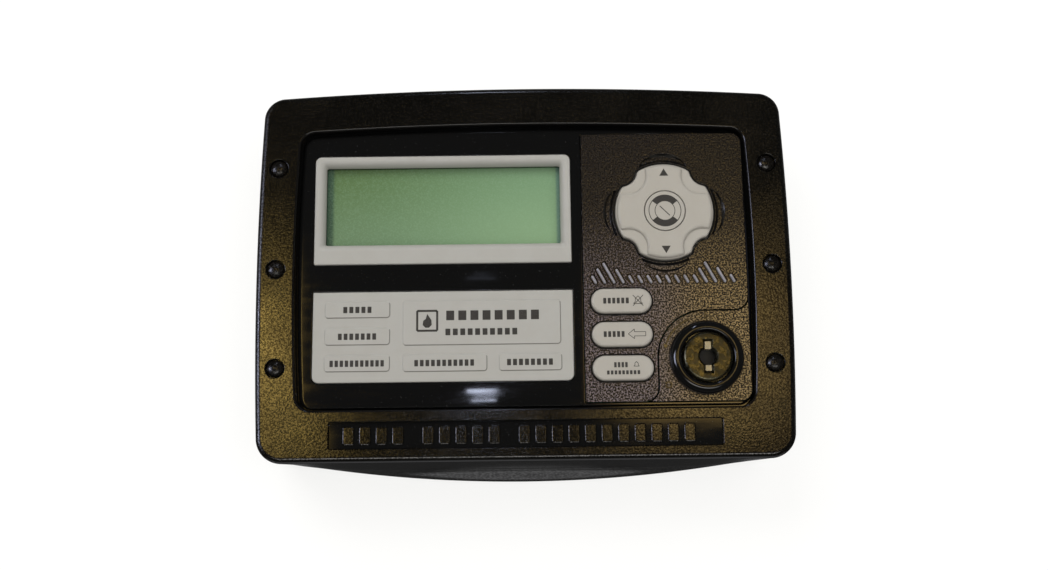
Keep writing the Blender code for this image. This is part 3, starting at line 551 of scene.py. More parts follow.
BLACKS = {
    "housing_black": ((0.0028, 0.0026, 0.0021), (0.0062, 0.0054, 0.0044), 0.60, 0.011, 0.16),
    "tray_black": ((0.013, 0.0128, 0.0125), (0.024, 0.0235, 0.023), 0.75, 0.03, 0.18),
    "dome_black": ((0.0040, 0.0034, 0.0028), (0.0075, 0.0062, 0.0048), 0.60, 0.011, 0.30),
}
PALES = {
    "light_grey": ((0.352, 0.343, 0.320), 0.48),
    # painted shade on the lower and right edges of the label's raised fields
    "grimy_grey": ((0.185, 0.178, 0.162), 0.6),
    "key_grey": ((0.350, 0.328, 0.292), 0.42),
}
PLAINS = {
    "edge_black": ((0.0045, 0.0042, 0.0040), 0.13, 0.003),
    # the ribs are black plastic; their light bluish grey is a painted highlight
    "rib_black": ((0.250, 0.240, 0.265), 0.24, 0.01, 0.9),
    # brass colour made light and diffuse: a painted highlight for the glint of the metal wafers deep in the
    # keyway
    "wafer_bright": ((0.26, 0.215, 0.13), 0.25, 0.01, 1.0),
    "white_plastic": ((0.72, 0.72, 0.69), 0.5),
    "black_plastic": ((0.018, 0.018, 0.018), 0.5),
    "terminal_green": ((0.04, 0.28, 0.10), 0.45),
    "lens_red": ((0.45, 0.02, 0.015), 0.2),
    "lens_amber": ((0.60, 0.30, 0.02), 0.2),
    "lens_green": ((0.04, 0.42, 0.08), 0.2),
    "backlight_white": ((0.75, 0.78, 0.72), 0.4),
}
SKIN = {
    "panel_texture": panel_texture(),
    "gloss_black": gloss_black(),
    "display_green": display_green(),
    "zinc_plate": metal("zinc_plate", (0.60, 0.60, 0.58), 0.34),
    "plug_brass": metal("plug_brass", (0.130, 0.122, 0.078), 0.30, (1.0, 1.0, 1.0)),
    "circuit_green": circuit_board(),
    "print_ink": ink(),
}
for maker, table in ((textured_black, BLACKS), (pale_plastic, PALES), (plain_plastic, PLAINS)):
    for skin_name, values in table.items():
        SKIN[skin_name] = maker(skin_name, *values)


# ---- wall tray and cover


def wall_tray():
    seat, lip, floor = SEAM - 0.3, WALL + 0.45, 2.4
    flare = ((0.8, 0), (4.0, 0), (5.2, 0.03), (6.5, 0.10), (7.8, 0.23), (9.0, 0.38), (10.0, 0.54))
    flare += ((11.0, 0.68), (12.0, 0.80), (13.0, 0.90), (seat - 0.25, 1))
    rings = [(wall_outline(0.8), 0), (wall_outline(0.4), 0.25)]
    rings += [(blend(wall_outline(), seam_outline(), share), h) for h, share in flare]
    rings.append((seam_outline(0.25), seat))
    rings += slab(seam_outline(lip), seat, TRAY.front - 0.3)
    tray = shape("wall_tray", rings + [(seam_outline(lip + 0.25), TRAY.front)])
    inner = seam_outline(lip + 1.4)
    cut(tray, [
        (wall_outline(WALL + 0.6), floor),
        (wall_outline(WALL), floor + 0.6),
        (wall_outline(WALL), 5.0),
        (blend(wall_outline(WALL), inner, 0.9), 9.5),
        (inner, 10.5),
        (inner, TRAY.front + 1),
    ])
    # The cable opening, then the four screw slots of a flush box and the four keyholes.
    holes = [rounded_box(-22, 22, -36, -8, 3.0)]
    meet = math.degrees(math.asin(2.2 / 4.2))
    for side in (-1, 1):
        for level in (-1, 1):
            x, z = side * 62.0, level * 45.0
            holes.append(stadium(side * 23.0, level * 41.65, 9.0, 4.6, 10))
            holes.append(arc(x, z, 4.2, 90 + meet, 450 - meet, 28) + arc(x, z + 8, 2.2, 0, 180, 12))
    cut(tray, *(slab(hole, -1, floor + 1) for hole in holes))
    notches, rows, columns = [], [], []
    for side in (-1, 1):
        hook, tongue = side * ARM, side * TONGUE
        notches.append(slab(rounded_box(hook - 7, hook + 7, 54, 63), seat, TRAY.front + 1))
        notches.append(slab(rounded_box(tongue - 6.5, tongue + 6.5, -63, -54), seat, TRAY.front + 1))
        rows.append(slab(rounded_box(-72, 72, side * 52 - 0.8, side * 52 + 0.8), floor - 0.4, floor + 2.6))
        columns.append(slab(rounded_box(side * 38 - 0.8, side * 38 + 0.8, -48, 48), floor - 0.4, floor + 2.6))
    cut(tray, *notches)
    add(tray, *rows)
    add(tray, *columns)
    finish_piece(tray, "wall_plate", "tray_black", ["back_plate"])


PLUG_NAMES = [f"{level}_{side}" for side in ("left", "right") for level in ("upper", "middle", "lower")]
PLUGS = {name: Span(f"cover_plug_{name}") for name in PLUG_NAMES}


def cover_shell():
    rings = [(seam_outline(0.25), SEAM), (seam_outline(), SEAM + 0.25)]
    shell = shape("cover_shell", rings + rounding(face_outline, FRONT, 2.0, 8))
    inside = FRONT - COVER_WALL
    cut(shell, [(seam_outline(WALL), SEAM - 1), (face_outline(WALL), inside)])
    rim = 0.7
    mouth = [(recess_outline(), inside - 1)]
    mouth += [(recess_outline(-rim * inward), FRONT - rim * (1 - up) * 0.95) for inward, up in quarter(8)]
    mouth[-1:] = slab(recess_outline(-rim), FRONT + OVER, FRONT + 1)
    cut(shell, mouth)
    slot = ((0, -1.4), (0, -0.4), (0.05, -0.1), (0.15, OVER), (0.15, 1))
    cut(shell, [(slot_outline(-grow), FRONT + rise) for grow, rise in slot])
    sinks, bores = [], []
    for plug in PLUGS.values():
        sink = ((3.02, -1.3), (3.04, -0.25), (3.3, OVER), (3.3, 1))
        sinks.append([(circle(plug.x, plug.z, radius), FRONT + rise) for radius, rise in sink])
        bores.append(slab(circle(plug.x, plug.z, 1.7, 24), FRONT - 6, FRONT + 2))
    cut(shell, *sinks)
    cut(shell, *bores)
    add_cover_arms(shell)
    finish_piece(shell, "cover", "housing_black", ["front_cover"])
    # The left edge is duller, and the grain stops at the rim of the recess and at the bottom edge.
    repaint(shell, "dome_black", lambda x, h, z, normal: x < 3 - HALF and normal.x < -0.05)
    repaint(shell, "edge_black", lambda x, h, z, normal: (
        abs(normal.y) < 0.996 and h > SEAM + 5 and (FASCIA.holds(x, z, -1.5) or z < COVER.bottom + 3)
    ))


def slot_outline(inset=0.0):
    return rounded_box(inset - 63.8, 63.8 - inset, inset - 57.4, -48.6 - inset, 0.7 - inset)


def add_cover_arms(shell):
    """Screw posts, the two arms inside the top edge and the two tongues at the bottom."""
    posts, pilots = [], []
    for number in (1, 2, 3, 4):
        screw = Span(f"board_screw_{number}")
        posts.append(slab(circle(screw.x, screw.z, 2.5, 32), 18.9, FRONT - COVER_WALL + 0.5))
        pilots.append(slab(circle(screw.x, screw.z, 1.35, 24), 17.8, 28.0))
    add(shell, *posts)
    cut(shell, *pilots)
    ends, roots = [], []
    for side in (-1, 1):
        hook, tongue = side * ARM, side * TONGUE
        ends.append(slab(rounded_box(hook - 5, hook + 5, 57.4, 59.2), COVER.back, 18.5))
        roots.append(slab(rounded_box(hook - 5, hook + 5, 57.4, 63.0), 18.0, 22.0))
        ends.append(slab(rounded_box(tongue - 4.5, tongue + 4.5, -59.3, -57.6), 9.0, 18.5))
        roots.append(slab(rounded_box(tongue - 4.5, tongue + 4.5, -62.6, -57.6), 18.0, 22.0))
    add(shell, *ends)
    add(shell, *roots)


def name_strip():
    """The smooth floor of the long slot, with plain raised blocks where a title would be moulded."""
    floor, pitch, width, between = FRONT - 1.2, 5.36, 3.7, 4.4
    strip = shape("name_strip", slab(slot_outline(0.1), floor - 0.25, floor))
    finish_piece(strip, "cover", "gloss_black")
    blocks, left = [], -59.29
    for count in (4, 5, 11):
        for _ in range(count):
            rings = []
            for inset, rise in ((0.0, -0.1), (0.0, 0.2), (0.06, 0.33), (0.2, 0.42), (0.45, 0.45)):
                box = (left + inset, left + width - inset, inset - 56.1, -50.1 - inset)
                rings.append((rounded_box(*box, max(0.7 - inset, 0.15), 4), floor + rise))
            blocks.append(rings)
            left += pitch
        left += between
    finish_piece(shape("name_blocks", *blocks), "cover", "housing_black")


def cover_plugs():
    dome, height, stem = 2.9, 1.75, 1.5
    for name, plug in PLUGS.items():
        profile = [(dome * up, plug.front - height * inward) for inward, up in quarter(10)]
        profile += [(stem, plug.front - height), (stem, plug.back), (0, plug.back)]
        piece = turned(f"dome_plug_{name}", plug, profile, 40)
        finish_piece(piece, "cover", "dome_black", [f"cover_plug_{name}"])


# ---- front panels


def surround_outline(inset):
    """The edge of the glossy surround at some depth into its rounding, which is tighter along the bottom."""
    pairs = zip(recess_outline(0.5 + inset), recess_outline(0.5 + inset * 0.35))
    return [(x, tight_z if z < -30 else z) for (x, z), (_, tight_z) in pairs]


def display_fascia():
    low, high, depth, rise = FASCIA.back, FASCIA.front, 1.7, 1.4
    rings = slab(recess_outline(-1.7), low, high - rise) + [(recess_outline(0.5), high - rise)]
    for inward, up in list(quarter(8))[1:]:
        rings.append((surround_outline(depth * inward), high - rise * (1 - up)))
    panel = shape("display_surround", rings)
    windows = []
    corners = ((0.5, 0.5, 2.2, 2.2), (2.4, 2.4, 0.5, 0.5), (0.4, 3.6, 3.6, 0.4))
    for span, radii in zip((BEZEL, LABEL, ISLAND_BOX), corners):
        wide = span.outline(-0.5, tuple(radius + 0.3 for radius in radii))
        windows.append(opening(span.outline(-0.2, radii), wide, low - 1, 0.16, high))
    cut(panel, *windows)
    finish_piece(panel, "cover", "gloss_black", ["display_fascia"])


def pad_edge(change=0.0):
    return lobed(PAD.x, PAD.z, PAD.right - PAD.x - 0.9 + change, 5.5 - change, 20.2)


KEYS = {name: Span(f"{name}_key") for name in ("silence", "reset", "drill")}


def key_edge(span, grow=0.0):
    return stadium(span.x, span.z, KEY_LENGTH + grow, KEY_HEIGHT + grow)


def lock_boundary(turn, radius, lower, upper, steps):
    """The line between the control plate and the lock plate: a sweep round the lock between two turns."""
    line = arc(39.0, ISLAND.bottom + 4.5, turn, lower, 0, steps) + arc(RING.x, RING.z, radius, 180, 90, 28)
    return line + arc(ISLAND_BOX.right - 4.5, RING.z + 20.5, turn, -90, upper, steps)


def control_panel():
    edge = rounded_box(ISLAND.left, ISLAND_BOX.right, ISLAND.bottom, ISLAND.top, (0.3, 0, 3.5, 0.3))
    corner = edge.index((ISLAND_BOX.right, ISLAND.bottom))
    loop = edge[:corner] + lock_boundary(4.5, 16.0, -90, 0, 10) + edge[corner + 1:]
    panel = shape("control_panel", slab(loop, ISLAND.back, PLATE))
    mouths = [(pad_edge(0.5), pad_edge(0.8))]
    mouths += [(key_edge(span, 0.6), key_edge(span, 1.2)) for span in KEYS.values()]
    cut(panel, *(opening(small, wide, ISLAND.back - 1, 0.3, PLATE) for small, wide in mouths))
    cut(panel, *finger_dishes())
    cut(panel, *sounder_ribs())
    finish_piece(panel, "cover", "panel_texture", ["control_fascia"])
    smooth_black_and_painted_shade(panel)


def smooth_black_and_painted_shade(piece):
    """The steep walls, the grooves of the ribs and the raised marks get smooth black without grain. On the
    walls and in the grooves that black is painted shade, a dark outline where shade falls.
    """
    repaint(piece, "edge_black", lambda x, h, z, normal: (
        abs(normal.y) < 0.93 or (PLATE - 0.6 < h < PLATE - 0.3 and -6 < z < 5) or h > PLATE + 0.1
    ))


def finger_dishes():
    """Four sunk crescents beside the pad, with a crisp outer edge and a floor that dips towards the pad."""
    spread, steps = 26.8, 28

    def edge(turn, inner, outer, half):
        near, far = [], []
        for i in range(steps + 1):
            share = -1 + 2 * i / steps
            angle = math.radians(turn + half * share)
            reach = outer * math.sqrt(max(1 - share * share, 0.0)) ** 1.4 + inner + 0.05
            near.append((PAD.x + inner * math.cos(angle), PAD.z + inner * math.sin(angle)))
            far.append((PAD.x + reach * math.cos(angle), PAD.z + reach * math.sin(angle)))
        return far + near[::-1]

    for turn in range(0, 360, 90):
        yield [
            (edge(turn, 18.2, 1.25, spread - 1.6), PLATE - 0.7),
            (edge(turn, 17.45, 2.85, spread), PLATE - 0.05),
            *slab(edge(turn, 17.4, 3.0, spread + 0.4), PLATE + OVER, PLATE + 1),
        ]


def sounder_ribs():
    """Sixteen slanted ribs with rounded tops over the sounder, in a light grey that paints their highlight on
    the black plastic. It gives back the grooves they stand in.
    """
    base, start, pitch, lean, radius = -3.9, 24.0, 3.067, math.radians(28), 0.44
    tops = [-1.2, 1.2, 3.1, 1.0] + [-1.2] * 8 + [1.0, 3.1, 1.2, -1.2]
    ribs, grooves = [], []
    for i, top in enumerate(tops):
        x, length = start + pitch * i, (top - base) / math.cos(lean)
        x, z = x - length / 2 * math.sin(lean), base + length / 2 * math.cos(lean)
        rings = []
        for inward, up in quarter(6):
            half = radius * (1 - inward) + 0.02
            bar = stadium(0, 0, length + 2 * half - 2 * radius, 2 * half, 8)
            rings.append((turn_to(bar, x, z, lean), PLATE + 0.05 + 0.5 * up))
        ribs.append([(rings[0][0], PLATE - 0.5)] + rings)
        groove = stadium(0, 0, length + 0.7, 2 * radius + 1.1, 8)
        grooves.append(slab(turn_to(groove, x - 0.05, z + 0.05, lean), PLATE - 0.45, PLATE + 1))
    finish_piece(shape("sounder_ribs", *ribs), "cover", "rib_black", sharp=50)
    return grooves


def turn_to(outline, x, z, lean):
    """Stand a level outline upright, tilt it towards the left and move it."""
    c, s = math.cos(math.pi / 2 + lean), math.sin(math.pi / 2 + lean)
    return [(x + px * c - pz * s, z + px * s + pz * c) for px, pz in outline]


def lock_corner():
    corner = 3.5
    loop = lock_boundary(5.0, 15.5, -60, -30, 8)
    loop.append((ISLAND_BOX.right, loop[-1][1]))
    loop += arc(ISLAND_BOX.right - corner, ISLAND.bottom + corner, corner, 0, -90, 8)
    loop.append((loop[0][0], ISLAND.bottom))
    plate = shape("lock_corner", slab(loop, ISLAND.back, PLATE))
    cut(plate, slab(circle(RING.x, RING.z, 9.6, 64), ISLAND.back - 1, PLATE + 1))
    add(plate, *(slab(mark, PLATE - 0.3, PLATE + 0.25) for mark in lock_marks()))
    finish_piece(plate, "cover", "panel_texture", ["lock_plate"])
    smooth_black_and_painted_shade(plate)


def lock_marks():
    """Generic marks: a bar above the lock, a ring at its lower left, and an arrow between them."""
    x, z = RING.x, RING.z
    yield rounded_box(x - 0.35, x + 0.35, z + 12.9, z + 15.0)
    yield ring_part(x, z, 13.6, 14.1, 112, 160)
    yield [arc(x, z, radius, turn, turn, 1)[0] for radius, turn in ((13.85, 168), (12.8, 161), (14.9, 161))]
    for start in (0, 180):
        yield ring_part(x - 12.6, z - 8.8, 0.7, 1.2, start, start + 165, 11)


def display_bezel():
    low, high, slope = BEZEL.back, BEZEL.front, 2.5
    outline = BEZEL.shrinking((0.5, 0.5, 2.0, 2.0))
    piece = shape("display_bezel", [(outline(0), low)] + rounding(outline, high, 0.5, 5))

    def window(reach):
        side, low_side = 3.5 - reach, 7.0 - reach
        box = (BEZEL.left + side, BEZEL.right - side, BEZEL.bottom + low_side, BEZEL.top - 3.4 + reach)
        return rounded_box(*box, 0.6 + reach * 0.3)

    throat = [(window(0), low - 1)]
    throat += [(window(slope * inward), low + 1.4 + (high - low - 1.4) * up) for inward, up in quarter(9)]
    throat[-1:] = slab(window(slope), high + OVER, high + 1)
    cut(piece, throat)
    finish_piece(piece, "cover", "light_grey", ["lcd_bezel"], sharp=50)
    # the upright walls deep in the throat get black: a painted shadow line round the display
    repaint(piece, "edge_black", lambda x, h, z, normal: BEZEL.holds(x, z, 2) and abs(normal.y) < 0.05)


FIELDS = (
    (-65.9, -44.5, -14.3, -9.0),
    (-65.9, -44.5, -23.3, -17.8),
    (-65.9, -44.5, -32.1, -26.8),
    (-40.1, 11.9, -23.6, -9.0),
    (-40.1, -12.5, -32.3, -26.8),
    (-8.4, 12.1, -32.3, -26.8),
)


def label_plate():
    """The label with its raised fields, whose lower and right edges are painted darker as shade."""
    low, high = LABEL.back, LABEL.front
    base = high - 0.3
    outline = LABEL.shrinking((2.2, 2.2, 0.4, 0.4))
    plate = shape("label_plate", [(outline(0), low)] + rounding(outline, base, 0.4, 4))
    bodies = []
    for left, right, bottom, top in FIELDS:
        rings = []
        for inset, h in ((-0.18, base - 0.3), (-0.18, base - 0.02), (0.12, high - 0.03), (0.22, high)):
            field = rounded_box(left + inset, right - inset, bottom + inset, top - inset, 1.0 - inset, 6)
            rings.append((field, h))
        bodies.append(rings)
    add(plate, *bodies)
    finish_piece(plate, "cover", "light_grey", ["label_panel"])
    # the lower and right slopes of the fields get a darker grey: painted shade
    repaint(plate, "grimy_grey", lambda x, h, z, normal: (
        abs(x - LABEL.x) < LABEL.right - LABEL.x - 2 and h > base
        and abs(normal.y) < 0.9 and normal.z < normal.x - 0.2
    ))


# ---- keys, pad, lock


def key_caps():
    flange = ISLAND.back - 0.3
    for name, span in KEYS.items():
        rings = slab(key_edge(span, 1.8), flange - 1.0, flange) + [(key_edge(span), flange)]
        rings += rounding(lambda inset: key_edge(span, -2 * inset), span.front, 0.9, 7)
        cap = shape(f"{name}_cap", rings)
        add(cap, slab(circle(span.x, span.z, 1.9, 32), span.back, flange - 0.5))
        finish_piece(cap, f"{name}_key", "key_grey", [f"{name}_key"])


def pad_cap():
    """The lobed pad: a lower edge with four lobes, and a softer raised top with wider notches."""
    front, plate = PAD.front, ISLAND.back
    rings = slab(pad_edge(0.9), plate - 2.3, plate - 1.0) + [(pad_edge(), plate - 1.0)]
    edge = ((0.0, 1.7), (0.1, 1.4), (0.35, 1.15), (0.7, 1.0))
    cap = shape("pad_cap", rings + [(pad_edge(-shrink), front - drop) for shrink, drop in edge])
    cut(cap, slab(circle(PAD.x, PAD.z, 7.3, 64), plate - 4, front + 1))
    rings, reach = [], PAD.right - PAD.x - 1.4
    for shrink, drop in ((0.0, 1.4), (0.0, 0.85), (0.12, 0.55), (0.4, 0.25), (0.8, 0.07), (1.2, 0.0)):
        rings.append((lobed(PAD.x, PAD.z, reach - shrink, 6.3 + shrink, 17.4), front - drop))
    top = shape("cross", rings)
    narrow, wide = circle(PAD.x, PAD.z, 6.95, 64), circle(PAD.x, PAD.z, 7.1, 64)
    cut(top, opening(narrow, wide, front - 3, 0.12, front))
    combine(cap, top, "UNION")
    rods = [circle(PAD.x, PAD.z + side * 11.5, 1.9, 32) for side in (-1, 1)]
    add(cap, *(slab(rod, PAD.back, plate - 1.8) for rod in rods))
    finish_piece(cap, "nav_pad", "key_grey", ["nav_pad"])


BUTTON = Span("acknowledge_button")


def centre_button():
    front, low = BUTTON.front, ISLAND.back - 4.2
    profile = [(0, front), (6.1, front), (6.45, front - 0.03), (6.65, front - 0.11), (6.72, front - 0.25)]
    profile += [(6.72, low + 1.2), (8.2, low + 1.2), (8.2, low)]
    profile += [(1.9, low), (1.9, BUTTON.back), (0, BUTTON.back)]
    name = "acknowledge_button"
    finish_piece(turned("centre_button", BUTTON, profile), name, "key_grey", [name])


def lock_collar():
    base, front = RING.back, RING.front
    foot = base + 0.9
    profile = [(8.45, base), (12.2, base)]
    profile += [(9.7 + 2.47 * (1 - inward), foot + (front - foot) * up) for inward, up in quarter(12)]
    profile += [(9.2, front - 0.04), (8.8, front - 0.25), (8.55, front - 0.6), (8.45, front - 1.0)]
    finish_piece(turned("lock_collar", RING, profile, 96, closed=True), "cover", "gloss_black", ["lock_ring"])


def lock_plug():
    front, shoulder = PLUG.front, 24.0
    profile = [(0, front), (7.1, front), (7.5, front - 0.08), (7.85, front - 0.3), (8.1, front - 0.8)]
    profile += [(8.1, shoulder), (2.8, shoulder), (2.8, PLUG.back), (0, PLUG.back)]
    plug = turned("lock_plug", PLUG, profile, 96)
    mouth = ((0.0, -5.5), (0.0, -0.6), (0.3, -0.2), (0.55, OVER), (0.55, 1))
    cut(plug, [(keyhole(grow), front + rise) for grow, rise in mouth])
    finish_piece(plug, "key_plug", "plug_brass", ["key_plug"])
    # a black sheet deep in the keyway: painted shade where the keyway runs on into the dark
    floor = shape("keyway_shade_floor", slab(keyhole(-0.02), front - 5.6, front - 4.6))
    finish_piece(floor, "key_plug", "black_plastic")
    wafers = []
    for low, high, drop in ((2.3, 4.8, 0.4), (-4.8, -2.9, 0.45)):
        block = rounded_box(PLUG.x - 1.0, PLUG.x + 1.0, PLUG.z + low, PLUG.z + high, 0.2, 3)
        wafers.append(slab(block, front - 4.0, front - drop))
    # the wafers' light colour is a painted highlight
    finish_piece(shape("keyway_wafers", *wafers), "key_plug", "wafer_bright")


def keyhole(grow):
    """An upright slot crossed by a round way, as one outline."""
    half, tall, radius = 1.15 + grow, 5.1 + grow, 2.8 + grow
    meet = math.degrees(math.acos(half / radius))
    points = [(PLUG.x + half, PLUG.z + tall), (PLUG.x - half, PLUG.z + tall)]
    points += arc(PLUG.x, PLUG.z, radius, 180 - meet, 180 + meet, 20)
    points += [(PLUG.x - half, PLUG.z - tall), (PLUG.x + half, PLUG.z - tall)]
    return points + arc(PLUG.x, PLUG.z, radius, -meet, meet, 20)


# ---- print


def printed(name, outlines, height, body):
    """Thin flat ink shapes on a surface at that height."""
    piece = shape(name, *(slab(outline, height - 0.04, height + 0.02) for outline in outlines))
    piece.data.materials.append(SKIN["print_ink"])
    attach(piece, body)


def greeked(left, right, z, height, count):
    """A row of plain marks where a word would be printed."""
    pitch, half = (right - left) / count, height / 2
    spots = [(left + pitch * (i + 0.17), left + pitch * (i + 0.83)) for i in range(count)]
    return [rounded_box(*spot, z - half, z + half, 0.12, 2) for spot in spots]


def stroke(start, end, width):
    """An outline round a thin straight line."""
    (x0, z0), (x1, z1) = start, end
    length = math.hypot(x1 - x0, z1 - z0)
    dx, dz = -(z1 - z0) / length * width / 2, (x1 - x0) / length * width / 2
    return [(x0 + dx, z0 + dz), (x0 - dx, z0 - dz), (x1 - dx, z1 - dz), (x1 + dx, z1 + dz)]


def closed_path(points, width):
    return [stroke(start, end, width) for start, end in zip(points, points[1:] + points[:1])]


def bell(x, z, size):
    half = [(1.0, -0.7), (0.6, -0.3), (0.6, 0.4)]
    points = [(-px, pz) for px, pz in half] + [(0, 1.0)] + half[::-1]
    return closed_path([(x + px * size, z + pz * size) for px, pz in points], 0.2)


def ring_part(cx, cz, inner, outer, start, end, steps=20):
    return arc(cx, cz, outer, start, end, steps) + arc(cx, cz, inner, start, end, steps)[::-1]


def label_print():
    words = (
        (-60.2, -50.2, -11.7, 2.1, 5), (-61.8, -48.6, -20.6, 2.1, 7), (-64.4, -46.0, -29.5, 2.1, 11),
        (-36.6, -16.4, -29.6, 2.1, 11), (-6.2, 9.5, -29.6, 2.1, 8),
        (-26.5, 5.5, -13.9, 3.2, 8), (-26.5, -2.0, -19.4, 2.2, 10),
    )
    marks = [mark for word in words for mark in greeked(*word)]
    badge = closed_path(rounded_box(-35.4, -28.8, -18.9, -12.3), 0.7)
    drop = [(-32.1, -13.3), (-30.7, -15.4), (-30.6, -17.0), (-31.5, -17.9)]
    drop += [(-32.7, -17.9), (-33.6, -17.0), (-33.4, -15.6), (-32.6, -15.0)]
    printed("label_print", marks + badge + [drop], LABEL.front, "cover")


def key_prints():
    """Marks for words on the keys, with a crossed-out bell, an arrow to the left and a small bell."""
    silence, reset, drill = KEYS.values()
    x, z = silence.x, silence.z
    marks = greeked(x - 6.3, x + 2.6, z, 1.9, 6) + bell(x + 5.4, z, 1.5)
    marks += [stroke((x + 3.7, z + tilt * 1.8), (x + 7.1, z - tilt * 1.8), 0.22) for tilt in (-1, 1)]
    printed("silence_print", marks, silence.front, "silence_key")
    x, z = reset.x, reset.z
    head = [(x + 1.9, z), (x + 3.9, z + 1.6), (x + 3.9, z + 0.7), (x + 7.6, z + 0.7)]
    tail = [(x + 7.6, z - 0.7), (x + 3.9, z - 0.7), (x + 3.9, z - 1.6)]
    marks = greeked(x - 6.4, x + 0.9, z, 1.9, 5) + closed_path(head + tail, 0.2)
    printed("reset_print", marks, reset.front, "reset_key")
    x, z = drill.x, drill.z
    marks = greeked(x - 3.2, x + 1.6, z + 1.0, 1.7, 4) + greeked(x - 5.6, x + 5.6, z - 1.5, 1.3, 9)
    printed("drill_print", marks + bell(x + 4.3, z + 1.1, 0.9), drill.front, "drill_key")


def pad_prints():
    """An arrow tip at the top and the bottom of the pad, and a ring with light and dark parts and a slash."""
    x, z = PAD.x, PAD.z
    ends = ((-12.0, -14.5), (12.0, 14.5))
    tips_and_painted_sheen = [[(x - 1.5, z + base), (x + 1.5, z + base), (x, z + tip)] for base, tip in ends]
    printed("pad_print", tips_and_painted_sheen, PAD.front, "nav_pad")
    parts = [(3.2, 5.45, 38, 142), (3.2, 5.45, 218, 322)]
    for start, end in ((-38, 38), (142, 218)):
        parts += [(5.2, 5.45, start, end), (3.2, 3.42, start, end)]
    ring = [ring_part(x, z, *part) for part in parts]
    ring.append(stroke((x - 1.7, z + 1.6), (x + 1.6, z - 1.7), 0.3))
    printed("button_print", ring, BUTTON.front, "acknowledge_button")


# ---- CAD nodes that stay


def dress_frame():
    """The pieces inside keep their CAD shape and get a worked material for their slot."""
    slots = {row["node"]: row["material_slot"] for row in frame["record"]["subparts"]}
    for name, node in frame["nodes"].items():
        material = SKIN[slots[name]]
        if node.material_slots:
            for part in node.material_slots:
                part.material = material
        else:
            node.data.materials.append(material)


# ---- stage, light and camera


def stage_wall():
    """A plain pale wall right behind the unit, lit evenly. It is clear from behind, to show the back."""
    size, y = 3.0, 0.0006
    mesh = bpy.data.meshes.new("pale_wall")
    mesh.from_pydata([(x, y, z) for x, z in rounded_box(-size, size, -size, size)], [], [(0, 1, 2, 3)])
    wall = linked("pale_wall", mesh)
    look = Look("pale_wall", (0.22, 0.22, 0.218), 0.9, 0, Specular_IOR_Level=0.0)
    look.set(Emission_Color=(1.0, 0.998, 0.985), Emission_Strength=0.80)
    mixer = look.new("MixShader", Fac=look.new("NewGeometry").outputs["Backfacing"])
    look.feed(mixer.inputs[1], look.shader.outputs["BSDF"])
    look.feed(mixer.inputs[2], look.new("BsdfTransparent").outputs["BSDF"])
    look.feed(look.tree.nodes["Material Output"].inputs["Surface"], mixer.outputs["Shader"])
    mesh.materials.append(look.material)
    wall.visible_glossy = False


def area(name, place, target, size, radiance, colour, diffuse=True, glossy=True):
    """A rectangular light whose face has this radiance."""
    light = bpy.data.lights.new(name, "AREA")
    light.shape = "RECTANGLE"
    light.size, light.size_y = size
    light.energy = radiance * math.pi * size[0] * size[1]
    light.color = colour
    lamp = linked(name, light)
    lamp.location = place
    lamp.rotation_euler = (Vector(target) - Vector(place)).to_track_quat("-Z", "Z").to_euler()
    lamp.visible_glossy = glossy
    lamp.visible_diffuse = diffuse
    lamp.visible_camera = False


def window_pane(name, spot, radiance, colour):
    """A light that stands where the camera sees it mirrored on that part of the front."""
    left, right, bottom, top = spot
    distance, eye_away, eye_down = 900.0, 365.0, 69.0
    reach = 1 + distance / eye_away
    low, high = (z * reach + eye_down * (reach - 1) for z in (bottom, top))
    place = ((left + right) / 2 * reach * MM, -(FRONT + distance) * MM, (low + high) / 2 * MM)
    size = ((right - left) * reach * MM, (high - low) * MM)
    area(name, place, (place[0], 0, place[2]), size, radiance, colour, diffuse=False)


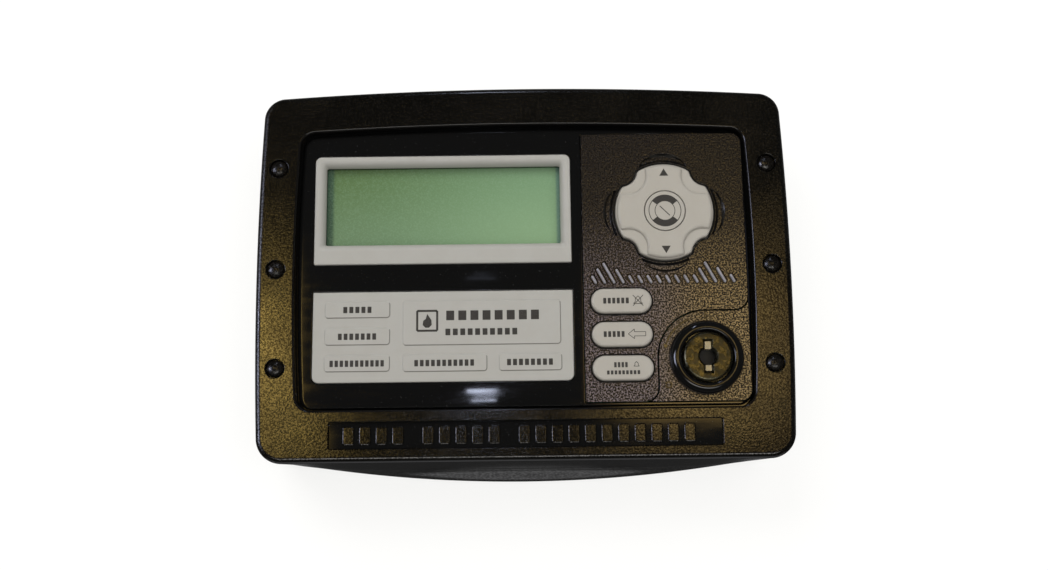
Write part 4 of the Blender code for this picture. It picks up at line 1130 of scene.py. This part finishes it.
def room():
    """Soft even light, with a room for the glossy parts to mirror: dark ahead, warm low at both sides."""
    world = bpy.data.worlds.new("studio")
    bpy.context.scene.world = world
    world.use_nodes = True
    world.node_tree.nodes.clear()
    nodes = Nodes(world.node_tree)
    step, mix = nodes.ramp, nodes.mix

    def times(first, second):
        return nodes.math("MULTIPLY", first, second)

    def fall(source, low, high):
        return nodes.math("SUBTRACT", 1.0, step(source, low, high))

    def band(source, rise, drop, drop_source=None):
        return times(fall(source if drop_source is None else drop_source, *drop), step(source, *rise))

    ray_x, ray_y, ray_z = nodes.new("SeparateXYZ", Vector=nodes.new("TexCoord").outputs["Generated"]).outputs
    ahead = nodes.math("MAXIMUM", times(ray_y, -1.0), 0.05)
    across = nodes.math("DIVIDE", ray_x, ahead)
    up = nodes.math("DIVIDE", ray_z, ahead)
    inward = nodes.math("SUBTRACT", across, times(fall(up, 0.045, 0.065), 0.03))
    cool = (band(across, (-2.2, -1.7), (-1.0, -0.8)), band(up, (-0.30, -0.05), (0.32, 0.44)))
    left = (band(across, (-0.29, -0.262), (-0.235, -0.195), inward), band(up, (-0.01, 0.10), (0.09, 0.24)))
    right = (band(across, (0.055, 0.125), (0.20, 0.245)), band(up, (0.048, 0.064), (0.09, 0.24)))
    middle = fall(nodes.math("ABSOLUTE", across), 0.25, 0.5)
    floor = (middle, band(times(up, -1.0), (0.35, 0.45), (0.55, 0.75)))
    colours = ((7.0, 7.3, 9.4), (10.5, 7.2, 1.9), (4.6, 3.1, 1.05), (4.0, 3.9, 3.7))
    seen = (0.026, 0.025, 0.024)
    for card, colour in zip((cool, left, right, floor), colours):
        seen = mix(times(*card), seen, colour)
    wall = mix(step(ray_z, -0.14, -0.04), (0.03, 0.03, 0.03), (0.19, 0.19, 0.195))
    wall = mix(fall(ray_z, -0.80, -0.60), wall, (0.50, 0.50, 0.51))
    seen = mix(step(ray_y, -0.05, 0.05), seen, wall)
    even = mix(fall(ray_z, -0.5, 0.1), (0.33, 0.33, 0.33), (0.70, 0.69, 0.67))
    kind = nodes.new("LightPath")
    final = mix(kind.outputs["Is Glossy Ray"], even, seen)
    final = mix(kind.outputs["Is Camera Ray"], final, (0.96, 0.96, 0.955))
    nodes.new("OutputWorld", Surface=nodes.new("Background", Color=final).outputs["Background"])


def lights():
    white, cool, middle = (1.0, 1.0, 0.98), (0.72, 0.79, 1.0), (0, 0, 0)
    area("key", (-0.45, -0.95, 0.75), middle, (0.9, 0.6), 6.0, white, glossy=False)
    area("fill", (0.5, -1.0, 0.1), middle, (0.8, 0.8), 2.5, white, glossy=False)
    panes = (
        ((-18.9, -9.4, -38.3, -36.7), 22.0),
        ((-16.8, -9.9, -41.0, -38.5), 4.6),
        ((-17.6, -9.6, -42.1, -41.5), 24.0),
        ((-19.0, -9.5, -2.6, -1.4), 0.8),
        ((-16.5, -11.5, -0.4, 1.0), 0.6),
    )
    for number, (spot, radiance) in enumerate(panes):
        window_pane(f"window_{number}", spot, radiance, cool)
    area("window_top", (-0.035, -0.60, 0.62), middle, (0.045, 0.20), 10.0, cool, diffuse=False)


def photo_camera():
    """At the photograph's angle: a little below the middle, looking up ten degrees, slightly rolled."""
    data = bpy.data.cameras.new("camera")
    data.sensor_width = 36.0
    data.lens = 38.5
    data.clip_start = 0.01
    camera = linked("camera", data)
    pitch, roll, distance = math.radians(10), math.radians(0.7), 0.370
    matrix = Matrix.Rotation(math.pi / 2 + pitch, 4, "X") @ Matrix.Rotation(-roll, 4, "Z")
    ahead = Vector((0, math.cos(pitch), math.sin(pitch)))
    matrix.translation = Vector((0, -FRONT * MM, -4.35 * MM)) - ahead * distance
    camera.matrix_world = matrix
    bpy.context.scene.camera = camera


for build in (
    wall_tray, cover_shell, name_strip, cover_plugs, display_fascia, control_panel, lock_corner,
    display_bezel, label_plate, key_caps, pad_cap, centre_button, lock_collar, lock_plug, label_print,
    key_prints, pad_prints, dress_frame, stage_wall, room, lights, photo_camera,
):
    build()
bpy.context.scene.view_settings.view_transform = "Standard"
